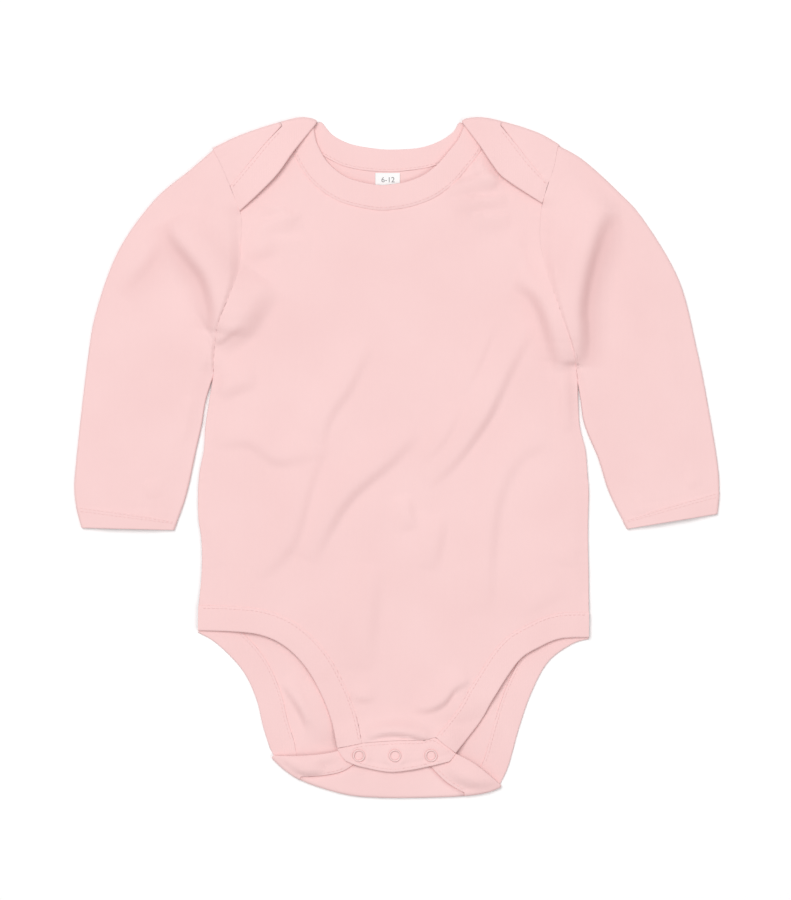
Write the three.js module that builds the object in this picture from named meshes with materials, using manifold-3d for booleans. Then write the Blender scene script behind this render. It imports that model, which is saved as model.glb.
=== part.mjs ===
// Long-sleeved baby bodysuit with lapped shoulders, laid flat with its front up and its crotch fastened.
// Millimetres. +X runs to the wearer's left, +Y towards the neck and +Z up from the surface it lies on.
import * as THREE from 'three';
import { mergeVertices } from 'three/addons/utils/BufferGeometryUtils.js';
import Module from 'manifold-3d';

const wasm = await Module();
wasm.setup();

// Cloth
const CLOTH = 1.2;            // jersey wall
const BAND = 1.8;             // edge band, folded double
const BAND_WIDTH = 15.8;
const HEM_WIDTH = 14.5;       // turned hem at the cuff
const HEM_EXTRA = 0.6;        // the turned hem is this much thicker
const GAP = 0.3;              // between pieces at a seam or lying on each other

// Heights of the wall's middle above the surface
const BACK_MID = CLOTH / 2;
const BACK_BAND_MID = BAND / 2;
const FRONT_LIFT = 0.7;       // the front lies this much clear of the back away from the side seams
const BODY_AIR = 1.2;         // and this much more at the middle of the body
const SIDE_ROUND = 9;         // width over which the front comes down to the side seam
const AIR_ROUND = 38;
const SHOULDER_Y = 204;       // the front lies close from here up, and loose SHOULDER_ROUND further down
const SHOULDER_ROUND = 45;
const HIP_BAND_Y = -82;       // below here the front lies on the leg bands of the back
const LAP_MID = 4.8;          // shoulder laps, over the front and its neck band
const LAP_BAND_MID = 5.1;
const FLAP_MID = 3.0;         // crotch flap of the back, folded up
const FLAP_BAND_MID = 3.3;
const PLACKET_LOW = 5.6;      // underside of the snap placket
const PLACKET = 1.4;
const PLACKET_SLOPE = 15;     // the front rises to the placket over this distance
const SLEEVE_EDGE_MID = 2.6;
const SLEEVE_AIR = 1.6;
const SLEEVE_ROUND = 14;
const SLEEVE_SHOULDER_RISE = 2.0;

// Snaps and label
const SNAP_RING_RADIUS = 4.0;
const SNAP_RING_WIDTH = 1.3;
const SNAP_RING_HEIGHT = 1.0;
const SNAP_BODY_RADIUS = 4.2;
const SNAP_BODY_HEIGHT = 0.7;
const SNAP_ROW_Y = -187.1;
const SNAP_X = { left: -24.3, middle: -1.6, right: 21.1 };
const LABEL = { left: -14.0, right: 1.6, top: 179.6, bottom: 167.5, thickness: 0.6 };

// Mesh steps
const SHOULDER_COLUMNS = 5;
const NECK_COLUMNS = 18;
const LEG_COLUMNS = 12;
const CROTCH_COLUMNS = 4;
const PANEL_COLUMNS = 2 * LEG_COLUMNS + CROTCH_COLUMNS;
const PANEL_ROWS = 32;
const BAND_COLUMNS = 3;
const LAP_COLUMNS = 8;
const LAP_ROWS = 8;
const FLAP_COLUMNS = 14;
const FLAP_ROWS = 5;
const ROLL_STEPS = 5;         // steps round a fold
const SLEEVE_ROWS = 18;
const SLEEVE_COLUMNS = 9;
const SLEEVE_ROLL_STEPS = 3;
const SNAP_STEPS = 20;
const HIDDEN_DEPTHS = [6, 3]; // how far a turned part starts inside the flat one

const PINK = new THREE.Color(0.945, 0.66, 0.65);
const WHITE = new THREE.Color(0.93, 0.93, 0.92);
const METAL = new THREE.Color(0.78, 0.62, 0.6);

const table = (columns, rows) =>
  rows.map((row) => Object.fromEntries(columns.map((name, i) => [name, row[i]])));

// Body sections: side edges below the underarm, armhole seams above it
const UNDERARM_Y = 52;
const BODY = table(['y', 'left', 'right'], [
  [-112, -127.0, 121.9],
  [-104, -128.0, 121.2],
  [-90, -125.8, 120.6],
  [-70, -123.8, 120.4],
  [-52, -123.8, 120.0],
  [-38, -125.6, 120.0],
  [-20, -125.7, 120.4],
  [-8, -124.6, 119.5],
  [5, -122.0, 118.4],
  [20, -121.0, 114.8],
  [36, -118.6, 113.7],
  [52, -116.2, 113.2],
  [70, -115.0, 110.0],
  [86, -112.0, 104.4],
  [100, -106.5, 99.7],
  [118, -100.4, 93.8],
  [136, -98.6, 89.9],
  [153, -98.4, 90.2],
  [162, -101.8, 91.6],
  [171, -105.4, 94.4],
  [184, -110.8, 98.6],
  [196, -117.2, 100.8],
]);

// Folds of the front and sleeves: a ridge through three points, with its width and height
const FOLDS = table(['x1', 'y1', 'x2', 'y2', 'x3', 'y3', 'width', 'height'], [
  [-17, 70, -37, 28, -60, -40, 8, 2.2],
  [16, 18, -26, -23, -47, -56, 8, 1.8],
  [80, 86, 46, 18, 16, -14, 9, 3.2],
  [98, 18, 66, -10, 58, -50, 8, 1.4],
  [-115, 12, -84, 8, -60, 4, 8, 1.4],
  [-54, -24, -62, -52, -82, -70, 8, 1.4],
  [46, -140, 27, -149, 10, -157, 6, 1.8],
  [-11, -74, -8, -105, -17, -137, 12, 1.4],
  [-113, 74, -97, 88, -84, 103, 9, 2.2],
  [-112, 44, -99, 49, -86, 53, 8, 1.4],
  [74, 144, 83, 106, 96, 66, 9, 2.2],
  [27, 176, 45, 181, 65, 184, 5, 0.9],
  [33, 160, 50, 162, 68, 163, 5, 0.9],
  [-93, 143, -77, 147, -61, 151, 6, 1.0],
  [-143, 147, -127, 130, -112, 96, 8, 2.6],
  [-172, 110, -159, 122, -147, 144, 8, 1.1],
  [-134, 100, -127, 70, -119, 54, 8, 1.2],
  [120, 152, 110, 120, 108, 62, 8, 2.6],
  [124, 154, 140, 157, 156, 148, 8, 1.1],
]);

// Outlines and seams, each a smooth line through points given as x, y
const LINES = {
  shoulderFold: {
    left: [[-117.2, 194.6], [-104.3, 201], [-94.8, 204.8], [-84.1, 208.5],
      [-72, 212], [-62, 214.3], [-54.5, 213.9], [-49.3, 211.8]],
    right: [[101.6, 197], [95.4, 201.2], [88.5, 204.8], [77.2, 208.8],
      [64.5, 212.3], [54, 214.3], [44.5, 213.9], [39.3, 211.8]],
  },
  lapEdge: {
    left: [[-65.2, 192.8], [-75.3, 178.6], [-86.6, 166.9], [-98.2, 155.6]],
    right: [[52, 195.9], [59.5, 184.6], [67.7, 175.3], [90.6, 160.2]],
  },
  lapSeam: {
    left: [[-83.5, 197.2], [-95.6, 182.6], [-104.8, 170.9]],
    right: [[74.7, 196.9], [84, 185], [94.4, 172.8]],
  },
  frontNeckSeam: [[-68.5, 206.5], [-65.2, 192], [-55.1, 175.1], [-38.1, 162.3], [-15, 156.3], [0, 156.8],
    [12, 159.4], [24, 164.4], [35, 172.5], [44.1, 182.7], [52, 193], [56.6, 203.4]],
  backNeckEdge: [[-43.6, 203.4], [-36.2, 198.8], [-20.5, 195.3], [-1.6, 194.4], [14.2, 195.5], [26.8, 199.7],
    [34.3, 204.6]],
  backNeckSeam: [[-58, 197.5], [-40, 186.6], [-29.3, 182.7], [-18, 180.9], [-6, 180.3], [4.7, 180.9],
    [20.5, 183.3], [35, 189], [48, 197.8]],
  sleeveOuter: {
    left: [[-117.2, 194.6], [-132, 181.4], [-154, 162.5], [-176.1, 131], [-189.9, 93.2], [-195.6, 61],
      [-202.5, -1.3], [-203.4, -24], [-198.8, -44.1]],
    right: [[101.6, 197], [117.5, 187.7], [138.3, 168.8], [155.3, 149.9], [177.3, 112.1], [188.7, 68],
      [195, 36.5], [201.3, -1.3], [202.6, -20], [201.3, -35.3]],
  },
  sleeveInner: {
    left: [[-116.8, 52.4], [-121.4, 36], [-123.8, 20], [-127, 5], [-133.2, -24], [-140.8, -45.4]],
    right: [[113.8, 52.4], [116, 36], [118.4, 20], [126.9, -1.3], [133.4, -22], [144.6, -44.7]],
  },
  frontLegEdge: {
    left: [[-127.2, -108.6], [-104, -109.3], [-86, -111.5], [-71, -118.5], [-58, -131.5], [-48.8, -147.4],
      [-42, -164.5], [-38, -182.5]],
    right: [[121.9, -113], [103, -113.6], [89.1, -119.1], [76, -128], [60.8, -150.6], [52, -166], [36.6, -185.6]],
  },
  backLegEdge: {
    left: [[-126.6, -109.4], [-113.7, -117], [-98, -133.2], [-89.1, -151.2], [-84.4, -170], [-78.4, -188.6]],
    right: [[121.6, -113.8], [109.9, -117.2], [94.8, -128.5], [84.2, -148], [76.5, -170.1], [70.2, -192.8],
      [65, -205]],
  },
  crotchFold: [[-80.6, -187.6], [-70.9, -196.6], [-58.3, -204.1], [-33.7, -211.7], [-13, -213.8], [13, -213.9],
    [41, -212.9], [57, -210.4], [67, -206.4]],
  flapEdge: {
    left: [[-60, -187.2], [-41.9, -185.2], [-28, -180.6]],
    right: [[50.4, -193.4], [40, -187.4], [25, -180.6]],
  },
  flapSeam: {
    left: [[-45, -199.4], [-32.4, -195.9], [-17, -184]],
    right: [[31.2, -204.1], [21.1, -194], [15, -184]],
  },
  placketTop: [[-37.4, -183.6], [-21.6, -180.1], [-1.6, -177.8], [14, -178], [23.4, -177.2], [35.9, -186.6]],
  placketBottom: [[-33, -190.2], [-23.6, -194], [-6, -197.5], [8, -196.4], [21.1, -193.7], [32.6, -190.9]],
};

// Plan lines as functions from 0 to 1
const clamp = THREE.MathUtils.clamp;
const lerp = THREE.MathUtils.lerp;
const smooth = (value) => THREE.MathUtils.smoothstep(value, 0, 1);

function line(points) {
  const curve = new THREE.SplineCurve(points.map(([x, y]) => new THREE.Vector2(x, y)));
  return (t) => curve.getPointAt(clamp(t, 0, 1));
}

const straight = (a, b) => (t) => a.clone().lerp(b, t);
const reversed = (path) => (t) => path(1 - t);
const part = (path, from, to) => (t) => path(lerp(from, to, t));

function normalOf(path, t) {
  const before = path(Math.max(t - 0.004, 0));
  const along = path(Math.min(t + 0.004, 1)).sub(before).normalize();
  return new THREE.Vector2(-along.y, along.x);
}

// A line beside another, to its left where the distance is positive
const beside = (path, distance) => (t) => path(t).addScaledVector(normalOf(path, t), distance);

function lengthOf(path) {
  const steps = 40;
  let length = 0;
  for (let i = 0; i < steps; i++) length += path(i / steps).distanceTo(path((i + 1) / steps));
  return length;
}

// The same line with its ends moved to given points
const fitted = (path, start, end) => (t) => path(t)
  .add(start.clone().sub(path(0)).multiplyScalar((1 - t) ** 6))
  .add(end.clone().sub(path(1)).multiplyScalar(t ** 6));

// Lines end to end, each taking its share of the steps from 0 to 1
function joined(...pieces) {
  const total = pieces.reduce((sum, [, steps]) => sum + steps, 0);
  return (t) => {
    let rest = clamp(t, 0, 1) * total;
    let k = 0;
    while (k < pieces.length - 1 && rest >= pieces[k][1] - 1e-6) {
      rest -= pieces[k][1];
      k += 1;
    }
    const [path, steps] = pieces[k];
    return path(clamp(rest / steps, 0, 1));
  };
}

// A patch between four lines: low and high run the same way, as do first and last. What the side lines
// bend away from straight ones dies out over the patch, the sooner the higher the fade.
function patch(low, high, first, last, fade = 1) {
  const bend = (path, a, b, v) => path(v).sub(a.lerp(b, v));
  return (u, v) => low(u).lerp(high(u), v)
    .addScaledVector(bend(first, low(0), high(0), v), (1 - u) ** fade)
    .addScaledVector(bend(last, low(1), high(1), v), u ** fade);
}

// Body edge at a height on the plan, and the line that it makes between two of them
function bodyX(side, y) {
  const above = BODY.findIndex((row) => row.y >= y);
  const k = clamp(above < 0 ? BODY.length - 1 : above, 1, BODY.length - 1);
  const rows = [BODY[Math.max(k - 2, 0)], BODY[k - 1], BODY[k], BODY[Math.min(k + 1, BODY.length - 1)]];
  const span = rows[2].y - rows[1].y;
  const slopeIn = (rows[2][side] - rows[0][side]) / (rows[2].y - rows[0].y) * span;
  const slopeOut = (rows[3][side] - rows[1][side]) / (rows[3].y - rows[1].y) * span;
  const t = (y - rows[1].y) / span;
  const t2 = t * t;
  const t3 = t2 * t;
  return (2 * t3 - 3 * t2 + 1) * rows[1][side] + (t3 - 2 * t2 + t) * slopeIn
    + (3 * t2 - 2 * t3) * rows[2][side] + (t3 - t2) * slopeOut;
}

// Sign of the way in from the left or right edge, which is also the side of its edge line a band lies on
const inward = { left: 1, right: -1 };
const bodyLine = (side, from, to, inset) => (t) => {
  const y = lerp(from, to, t);
  return new THREE.Vector2(bodyX(side, y) + inward[side] * inset, y);
};

// Heights over the plan
const foldLines = FOLDS.map((fold) => ({
  ...fold,
  points: new THREE.SplineCurve([
    new THREE.Vector2(fold.x1, fold.y1),
    new THREE.Vector2(fold.x2, fold.y2),
    new THREE.Vector2(fold.x3, fold.y3),
  ]).getPoints(10),
}));

function foldHeight(x, y) {
  let height = 0;
  for (const fold of foldLines) {
    let nearest = Infinity;
    let place = 0;
    fold.points.forEach((point, i) => {
      const distance = Math.hypot(point.x - x, point.y - y);
      if (distance < nearest) {
        nearest = distance;
        place = i / (fold.points.length - 1);
      }
    });
    const taper = Math.sqrt(Math.sin(Math.PI * lerp(0.06, 0.94, place)));
    height += fold.height * taper * Math.exp(-((nearest / fold.width) ** 2));
  }
  return height;
}

// Distance outside the placket, which lifts the front onto the folded flap
function placketDistance(x, y) {
  const across = Math.max(Math.abs(x + 0.6) - 30, 0);
  const along = Math.max(y + 178, -198 - y, 0);
  return Math.hypot(across, along);
}

function frontLow(x, y) {
  const side = Math.max(Math.min(x - bodyX('left', y), bodyX('right', y) - x), 0);
  const atSide = y < UNDERARM_Y ? 1 : 1 - smooth((y - UNDERARM_Y) / 30);
  const rounded = lerp(1, smooth(side / SIDE_ROUND), atSide);
  const settled = smooth((SHOULDER_Y - y) / SHOULDER_ROUND);
  const overBand = (BAND - CLOTH) * smooth((HIP_BAND_Y - y) / SIDE_ROUND);
  const loose = (BODY_AIR * smooth(side / AIR_ROUND) + foldHeight(x, y)) * rounded * settled;
  const low = CLOTH + GAP + Math.max(FRONT_LIFT * rounded, overBand) + loose;
  return lerp(PLACKET_LOW, Math.min(low, PLACKET_LOW + 1), smooth(placketDistance(x, y) / PLACKET_SLOPE));
}

const frontMid = (p) => frontLow(p.x, p.y) + CLOTH / 2;
const frontBandMid = (p) => frontLow(p.x, p.y) + BAND / 2;
const placketMid = (p) => frontLow(p.x, p.y) + PLACKET / 2;

// Laps lie over the front, so they rise with it from the fold on
function lapMid(p, v) {
  const over = frontLow(p.x, p.y) + BAND + GAP + CLOTH / 2;
  return lerp(LAP_MID, Math.max(over, LAP_MID), smooth(3 * v));
}

const lift = (p, z) => new THREE.Vector3(p.x, p.y, z);
const rowOf = (count, make) => Array.from({ length: count + 1 }, (_, i) => make(i / count));

// Rows round a fold, from the lower layer to the upper one
function roll(centre, outward, low, high, count) {
  const radius = (high - low) / 2;
  return rowOf(ROLL_STEPS, (t) => Math.PI * (t - 0.5)).map((turn) => rowOf(count, (u) => {
    const p = centre(u).addScaledVector(outward(u), radius * Math.cos(turn));
    return lift(p, low + radius * (1 + Math.sin(turn)));
  }));
}

// A right-hand piece has its rows turned round, so that its faces point out as on the left
const sideways = (side, rows) => (side === 'left' ? rows : rows.map((row) => [...row].reverse()));

// Closed wall of a given thickness round a grid of mid-points; the rows of a tube close on themselves
function wall(rows, thickness, tube = false) {
  const count = rows[0].length;
  const thick = typeof thickness === 'function' ? thickness : () => thickness;
  const neighbour = (i) => (tube ? (i + count) % count : clamp(i, 0, count - 1));
  const positions = [];
  for (const side of [0.5, -0.5]) {
    rows.forEach((row, j) => row.forEach((p, i) => {
      const across = row[neighbour(i + 1)].clone().sub(row[neighbour(i - 1)]);
      const along = rows[Math.min(j + 1, rows.length - 1)][i].clone().sub(rows[Math.max(j - 1, 0)][i]);
      const normal = across.cross(along).normalize();
      const q = p.clone().addScaledVector(normal, side * thick(j / (rows.length - 1)));
      positions.push(q.x, q.y, Math.max(q.z, 0));
    }));
  }
  const skin = rows.length * count;
  const at = (side, j, i) => side * skin + j * count + (i % count);
  const index = [];
  const quad = (a, b, c, d) => index.push(a, b, c, a, c, d);
  const across = tube ? count : count - 1;
  const end = rows.length - 1;
  for (let j = 0; j < end; j++) {
    for (let i = 0; i < across; i++) {
      quad(at(0, j, i), at(0, j, i + 1), at(0, j + 1, i + 1), at(0, j + 1, i));
      quad(at(1, j, i), at(1, j + 1, i), at(1, j + 1, i + 1), at(1, j, i + 1));
    }
    if (!tube) {
      quad(at(0, j, 0), at(0, j + 1, 0), at(1, j + 1, 0), at(1, j, 0));
      quad(at(0, j, across), at(1, j, across), at(1, j + 1, across), at(0, j + 1, across));
    }
  }
  for (let i = 0; i < across; i++) {
    quad(at(0, 0, i), at(1, 0, i), at(1, 0, i + 1), at(0, 0, i + 1));
    quad(at(0, end, i), at(0, end, i + 1), at(1, end, i + 1), at(1, end, i));
  }
  const geometry = new THREE.BufferGeometry();
  geometry.setAttribute('position', new THREE.Float32BufferAttribute(positions, 3));
  geometry.setIndex(index);
  return geometry;
}

function solid(geometry) {
  const bare = geometry.clone();
  bare.deleteAttribute('normal');
  bare.deleteAttribute('uv');
  const merged = mergeVertices(bare, 1e-4);
  return new wasm.Manifold(new wasm.Mesh({
    numProp: 3,
    vertProperties: new Float32Array(merged.attributes.position.array),
    triVerts: new Uint32Array(merged.index.array),
  }));
}

function geometryOf(manifold) {
  const mesh = manifold.getMesh();
  const geometry = new THREE.BufferGeometry();
  geometry.setAttribute('position', new THREE.Float32BufferAttribute(mesh.vertProperties, 3));
  geometry.setIndex(Array.from(mesh.triVerts));
  return geometry;
}

const garment = new THREE.Group();

function add(name, geometry, color, roughness = 0.9, metalness = 0) {
  const material = new THREE.MeshStandardMaterial({ color, roughness, metalness });
  const mesh = new THREE.Mesh(geometry, material);
  mesh.name = name;
  garment.add(mesh);
}

const SIDES = ['left', 'right'];

// Centre of the roll round a fold line, between two places along it, and the way out of it
function rollLine(fold, from, to, outside, mid, thickness) {
  const stretch = part(fold, from, to);
  const reach = (mid - thickness / 2) / 2 + thickness / 2;
  return {
    centre: (u) => stretch(u).addScaledVector(normalOf(fold, lerp(from, to, u)), -outside * reach),
    outward: (u) => normalOf(fold, lerp(from, to, u)).multiplyScalar(outside),
  };
}

// Shoulder folds: from the armhole to the band's seam, and on to the peak beside the neck
const SEAM_PLACE = { left: 0.655, right: 0.595 };
const PEAK_PLACE = 0.985;
const ARMHOLE_PLACE = 0.012;
const GAP_PLACE = 0.008;
const lapRoll = {};
const lapBandRoll = {};
for (const side of SIDES) {
  const fold = line(LINES.shoulderFold[side]);
  const outside = inward[side];
  lapRoll[side] = rollLine(fold, ARMHOLE_PLACE, SEAM_PLACE[side] - GAP_PLACE, outside, LAP_MID, CLOTH);
  lapBandRoll[side] = rollLine(fold, PEAK_PLACE, SEAM_PLACE[side], outside, LAP_BAND_MID, BAND);
}

// Crotch fold: the flap between the two leg bands that turn over with it
const FLAP_PLACE = { left: 0.155, right: 0.835 };
const crotchFold = line(LINES.crotchFold);
const flapRoll = rollLine(crotchFold, FLAP_PLACE.left + 0.003, FLAP_PLACE.right - 0.003, -1, FLAP_MID, CLOTH);
const flapBandRoll = {
  left: rollLine(crotchFold, 0.01, FLAP_PLACE.left, -1, FLAP_BAND_MID, BAND),
  right: rollLine(crotchFold, 0.99, FLAP_PLACE.right, -1, FLAP_BAND_MID, BAND),
};

// Lines that start or end at a fold
const from = (point, points) => line([point.toArray(), ...points]);
const peak = (side) => lapBandRoll[side].centre(0);
const shoulderSeam = (side) => lapBandRoll[side].centre(1);
const backNeckEdge = line([peak('left').toArray(), ...LINES.backNeckEdge, peak('right').toArray()]);
const backNeckSeam = line([
  shoulderSeam('left').toArray(),
  ...LINES.backNeckSeam,
  shoulderSeam('right').toArray(),
]);
const frontNeckSeam = line(LINES.frontNeckSeam);
const lapEdge = {};
const lapSeam = {};
const flapEdge = {};
const flapSeam = {};
const frontLegEdge = {};
const backLegEdge = {};
for (const side of SIDES) {
  lapEdge[side] = from(peak(side), LINES.lapEdge[side]);
  lapSeam[side] = from(shoulderSeam(side), LINES.lapSeam[side]);
  flapEdge[side] = from(flapBandRoll[side].centre(0), LINES.flapEdge[side]);
  flapSeam[side] = from(flapBandRoll[side].centre(1), LINES.flapSeam[side]);
  frontLegEdge[side] = part(line(LINES.frontLegEdge[side]), 0.012, 1);
  backLegEdge[side] = part(line(LINES.backLegEdge[side]), 0.012, 0.94);
}

// A band between its edge and its seam, in a number of steps
function bandRows(edge, seam, steps, height, first = 0) {
  return rowOf(steps, (t) => t).slice(first).map((t) => rowOf(BAND_COLUMNS, (u) => {
    const p = edge(t).lerp(seam(t), u);
    return lift(p, height(p));
  }));
}

// Front panel: hip seams at the bottom of its sides, tips hidden under the laps at the top
const FRONT_TIP_Y = 188;
const SIDE_INSET = 0.4;
const FRONT_FADE = 6;

function frontPanel() {
  const leg = (side) => beside(frontLegEdge[side], inward[side] * (BAND_WIDTH + GAP));
  const crotchMiddle = [SNAP_X.middle, line(LINES.placketTop)(0.5).y + GAP + 0.2];
  const crotch = line([leg('left')(1).toArray(), crotchMiddle, leg('right')(1).toArray()]);
  const low = joined(
    [leg('left'), LEG_COLUMNS],
    [crotch, CROTCH_COLUMNS],
    [reversed(leg('right')), LEG_COLUMNS],
  );
  const neck = beside(frontNeckSeam, -GAP);
  const tip = (side) => bodyLine(side, low(0).y, FRONT_TIP_Y, SIDE_INSET)(1);
  const high = joined(
    [line([tip('left').toArray(), [-92, 199.5], neck(0).toArray()]), SHOULDER_COLUMNS],
    [neck, NECK_COLUMNS],
    [line([neck(1).toArray(), [80, 202.5], tip('right').toArray()]), SHOULDER_COLUMNS],
  );
  const left = fitted(bodyLine('left', low(0).y, FRONT_TIP_Y, SIDE_INSET), low(0), high(0));
  const right = fitted(bodyLine('right', low(1).y, FRONT_TIP_Y, SIDE_INSET), low(1), high(1));
  const plan = patch(low, high, left, right, FRONT_FADE);
  return wall(rowOf(PANEL_ROWS, (v) => rowOf(PANEL_COLUMNS, (u) => {
    const p = plan(u, v);
    return lift(p, frontMid(p));
  })), CLOTH);
}

// Part of the back that lies over the front's shoulder, from inside the flat part round the fold to the tip
function shoulderLap(side) {
  const { centre, outward } = lapRoll[side];
  const seam = beside(lapSeam[side], -inward[side] * (GAP + 0.1));
  const tip = straight(bodyLine(side, seam(1).y + 1, seam(1).y + 1, SIDE_INSET)(0), seam(1));
  const armhole = fitted(bodyLine(side, centre(0).y, tip(0).y, SIDE_INSET), centre(0), tip(0));
  const plan = patch(centre, tip, armhole, fitted(seam, centre(1), tip(1)));
  const hidden = HIDDEN_DEPTHS.map((depth) => rowOf(LAP_COLUMNS, (u) => {
    const p = centre(u).addScaledVector(outward(u), -depth);
    p.x += inward[side] * 1.2 * (1 - u);
    return lift(p, BACK_MID);
  }));
  const top = rowOf(LAP_ROWS, (v) => v).slice(1).map((v) => rowOf(LAP_COLUMNS, (u) => {
    const p = plan(u, v);
    return lift(p, lapMid(p, v));
  }));
  return wall([...hidden, ...roll(centre, outward, BACK_MID, LAP_MID, LAP_COLUMNS), ...top], CLOTH);
}

// Part of the back that is turned up at the crotch, to end under the snap placket
function crotchFlap() {
  const { centre, outward } = flapRoll;
  const left = beside(flapSeam.left, -GAP - 0.1);
  const right = beside(flapSeam.right, GAP + 0.1);
  const plan = patch(centre, straight(left(1), right(1)), fitted(left, centre(0), left(1)),
    fitted(right, centre(1), right(1)));
  const hidden = HIDDEN_DEPTHS.map((depth) => rowOf(FLAP_COLUMNS, (u) => (
    lift(centre(u).addScaledVector(outward(u), -depth), BACK_MID)
  )));
  const places = rowOf(FLAP_ROWS, (v) => v).slice(1);
  const top = places.map((v) => rowOf(FLAP_COLUMNS, (u) => lift(plan(u, v), FLAP_MID)));
  return wall([...hidden, ...roll(centre, outward, BACK_MID, FLAP_MID, FLAP_COLUMNS), ...top], CLOTH);
}

// Back panel: its flat part, with the shoulder laps and the crotch flap turned over onto the front
function backPanel() {
  const leg = (side) => beside(backLegEdge[side], inward[side] * (BAND_WIDTH + GAP));
  const insideOf = ({ centre, outward }, start) => (t) => {
    const u = lerp(start, 1, t);
    return centre(u).addScaledVector(outward(u), -1);
  };
  const shoulder = (side) => insideOf(lapRoll[side], 0.04);
  const outline = [
    ...rowOf(32, bodyLine('left', leg('left')(0).y, shoulder('left')(0).y - 1, SIDE_INSET)),
    ...rowOf(8, shoulder('left')),
    ...rowOf(20, part(beside(backNeckSeam, -GAP), 0.02, 0.98)),
    ...rowOf(8, reversed(shoulder('right'))),
    ...rowOf(32, bodyLine('right', shoulder('right')(0).y - 1, leg('right')(0).y, SIDE_INSET)),
    ...rowOf(LEG_COLUMNS, leg('right')),
    ...rowOf(FLAP_COLUMNS, reversed(insideOf(flapRoll, 0))),
    ...rowOf(LEG_COLUMNS, reversed(leg('left'))),
  ];
  const flat = new THREE.ExtrudeGeometry(new THREE.Shape(outline), { depth: CLOTH, bevelEnabled: false });
  const pieces = [flat, shoulderLap('left'), shoulderLap('right'), crotchFlap()].map(solid);
  return geometryOf(pieces.reduce((whole, piece) => whole.add(piece)));
}

// Neck band of the back, which runs on over each shoulder fold along the lap's edge
function backNeckBand() {
  const height = (p) => Math.max(frontLow(p.x, p.y) + BAND + GAP, LAP_BAND_MID - BAND / 2) + BAND / 2;
  const top = (side) => [
    ...roll(lapBandRoll[side].centre, lapBandRoll[side].outward, BACK_BAND_MID, LAP_BAND_MID, BAND_COLUMNS),
    ...bandRows(lapEdge[side], lapSeam[side], LAP_ROWS, height, 1),
  ];
  const across = bandRows(backNeckEdge, backNeckSeam, 2 * LAP_ROWS, () => BACK_BAND_MID, 1).slice(0, -1);
  return wall([...top('left').reverse(), ...across, ...top('right')], BAND);
}

function frontNeckBand() {
  return wall(bandRows(beside(frontNeckSeam, BAND_WIDTH), frontNeckSeam, NECK_COLUMNS, frontBandMid), BAND);
}

function frontLegBand(side) {
  const edge = frontLegEdge[side];
  const seam = beside(edge, inward[side] * BAND_WIDTH);
  return wall(sideways(side, bandRows(edge, seam, LEG_COLUMNS, frontBandMid)), BAND);
}

// Leg band of the back, turned over at the crotch fold with the flap
function backLegBand(side) {
  const edge = backLegEdge[side];
  const seam = beside(edge, inward[side] * BAND_WIDTH);
  const { centre, outward } = flapBandRoll[side];
  return wall(sideways(side, [
    ...bandRows(edge, seam, LEG_COLUMNS, () => BACK_BAND_MID),
    ...roll(centre, outward, BACK_BAND_MID, FLAP_BAND_MID, BAND_COLUMNS),
    ...bandRows(flapEdge[side], flapSeam[side], FLAP_ROWS, () => FLAP_BAND_MID, 1),
  ]), BAND);
}

// Flattened tube from the armhole to the cuff, with the turned hem as a thicker end
function sleeve(side) {
  const outer = line(LINES.sleeveOuter[side]);
  const inner = line(LINES.sleeveInner[side]);
  const armhole = bodyLine(side, outer(0).y, inner(0).y, -SIDE_INSET);
  const plan = patch(armhole, straight(outer(1), inner(1)), fitted(outer, armhole(0), outer(1)),
    fitted(inner, armhole(1), inner(1)));
  const hemStart = 1 - HEM_WIDTH / lengthOf(outer);

  const ring = (s) => {
    const width = plan(0, s).distanceTo(plan(1, s));
    const edgeMid = (w) => SLEEVE_EDGE_MID + SLEEVE_SHOULDER_RISE * (1 - s) ** 4 * (1 - w) ** 2;
    const radius = (w) => (edgeMid(w) - BACK_MID) / 2;
    const inset = (w) => (radius(w) + CLOTH / 2) / width;
    const place = (k) => lerp(inset(0), 1 - inset(1), k);
    const topMid = (w, p) => {
      const loose = smooth((Math.min(w - place(0), place(1) - w) * width) / SLEEVE_ROUND);
      return edgeMid(w) + (SLEEVE_AIR + foldHeight(p.x, p.y)) * loose;
    };
    const edge = (w) => rowOf(SLEEVE_ROLL_STEPS, (t) => t).slice(1, -1).map((t) => {
      const turn = Math.PI * (t - 0.5);
      const p = plan(w, s);
      const outward = plan(Math.round(w), s).sub(p).normalize();
      p.addScaledVector(outward, radius(w) * Math.cos(turn));
      return lift(p, BACK_MID + radius(w) * (1 + Math.sin(turn)));
    });
    const bottom = rowOf(SLEEVE_COLUMNS, (k) => lift(plan(place(k), s), BACK_MID));
    const top = rowOf(SLEEVE_COLUMNS, (k) => {
      const w = place(1 - k);
      const p = plan(w, s);
      return lift(p, topMid(w, p));
    });
    return [...bottom, ...edge(place(1)), ...top, ...edge(place(0)).reverse()];
  };

  const thickness = (s) => CLOTH + (s > hemStart ? HEM_EXTRA : 0);
  return wall(sideways(side, rowOf(SLEEVE_ROWS, ring)), thickness, true);
}

function placket() {
  const rows = bandRows(line(LINES.placketBottom), line(LINES.placketTop), 2 * CROTCH_COLUMNS, placketMid);
  return wall(rows, PLACKET);
}

function snapRing() {
  const inside = SNAP_RING_RADIUS - SNAP_RING_WIDTH;
  const profile = [
    [inside, 0],
    [SNAP_RING_RADIUS, 0],
    [SNAP_RING_RADIUS, SNAP_RING_HEIGHT * 0.6],
    [SNAP_RING_RADIUS - 0.3, SNAP_RING_HEIGHT],
    [inside + 0.3, SNAP_RING_HEIGHT],
    [inside, SNAP_RING_HEIGHT * 0.6],
    [inside, 0],
  ].map(([x, y]) => new THREE.Vector2(x, y));
  return new THREE.LatheGeometry(profile, SNAP_STEPS).rotateX(Math.PI / 2);
}

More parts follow.
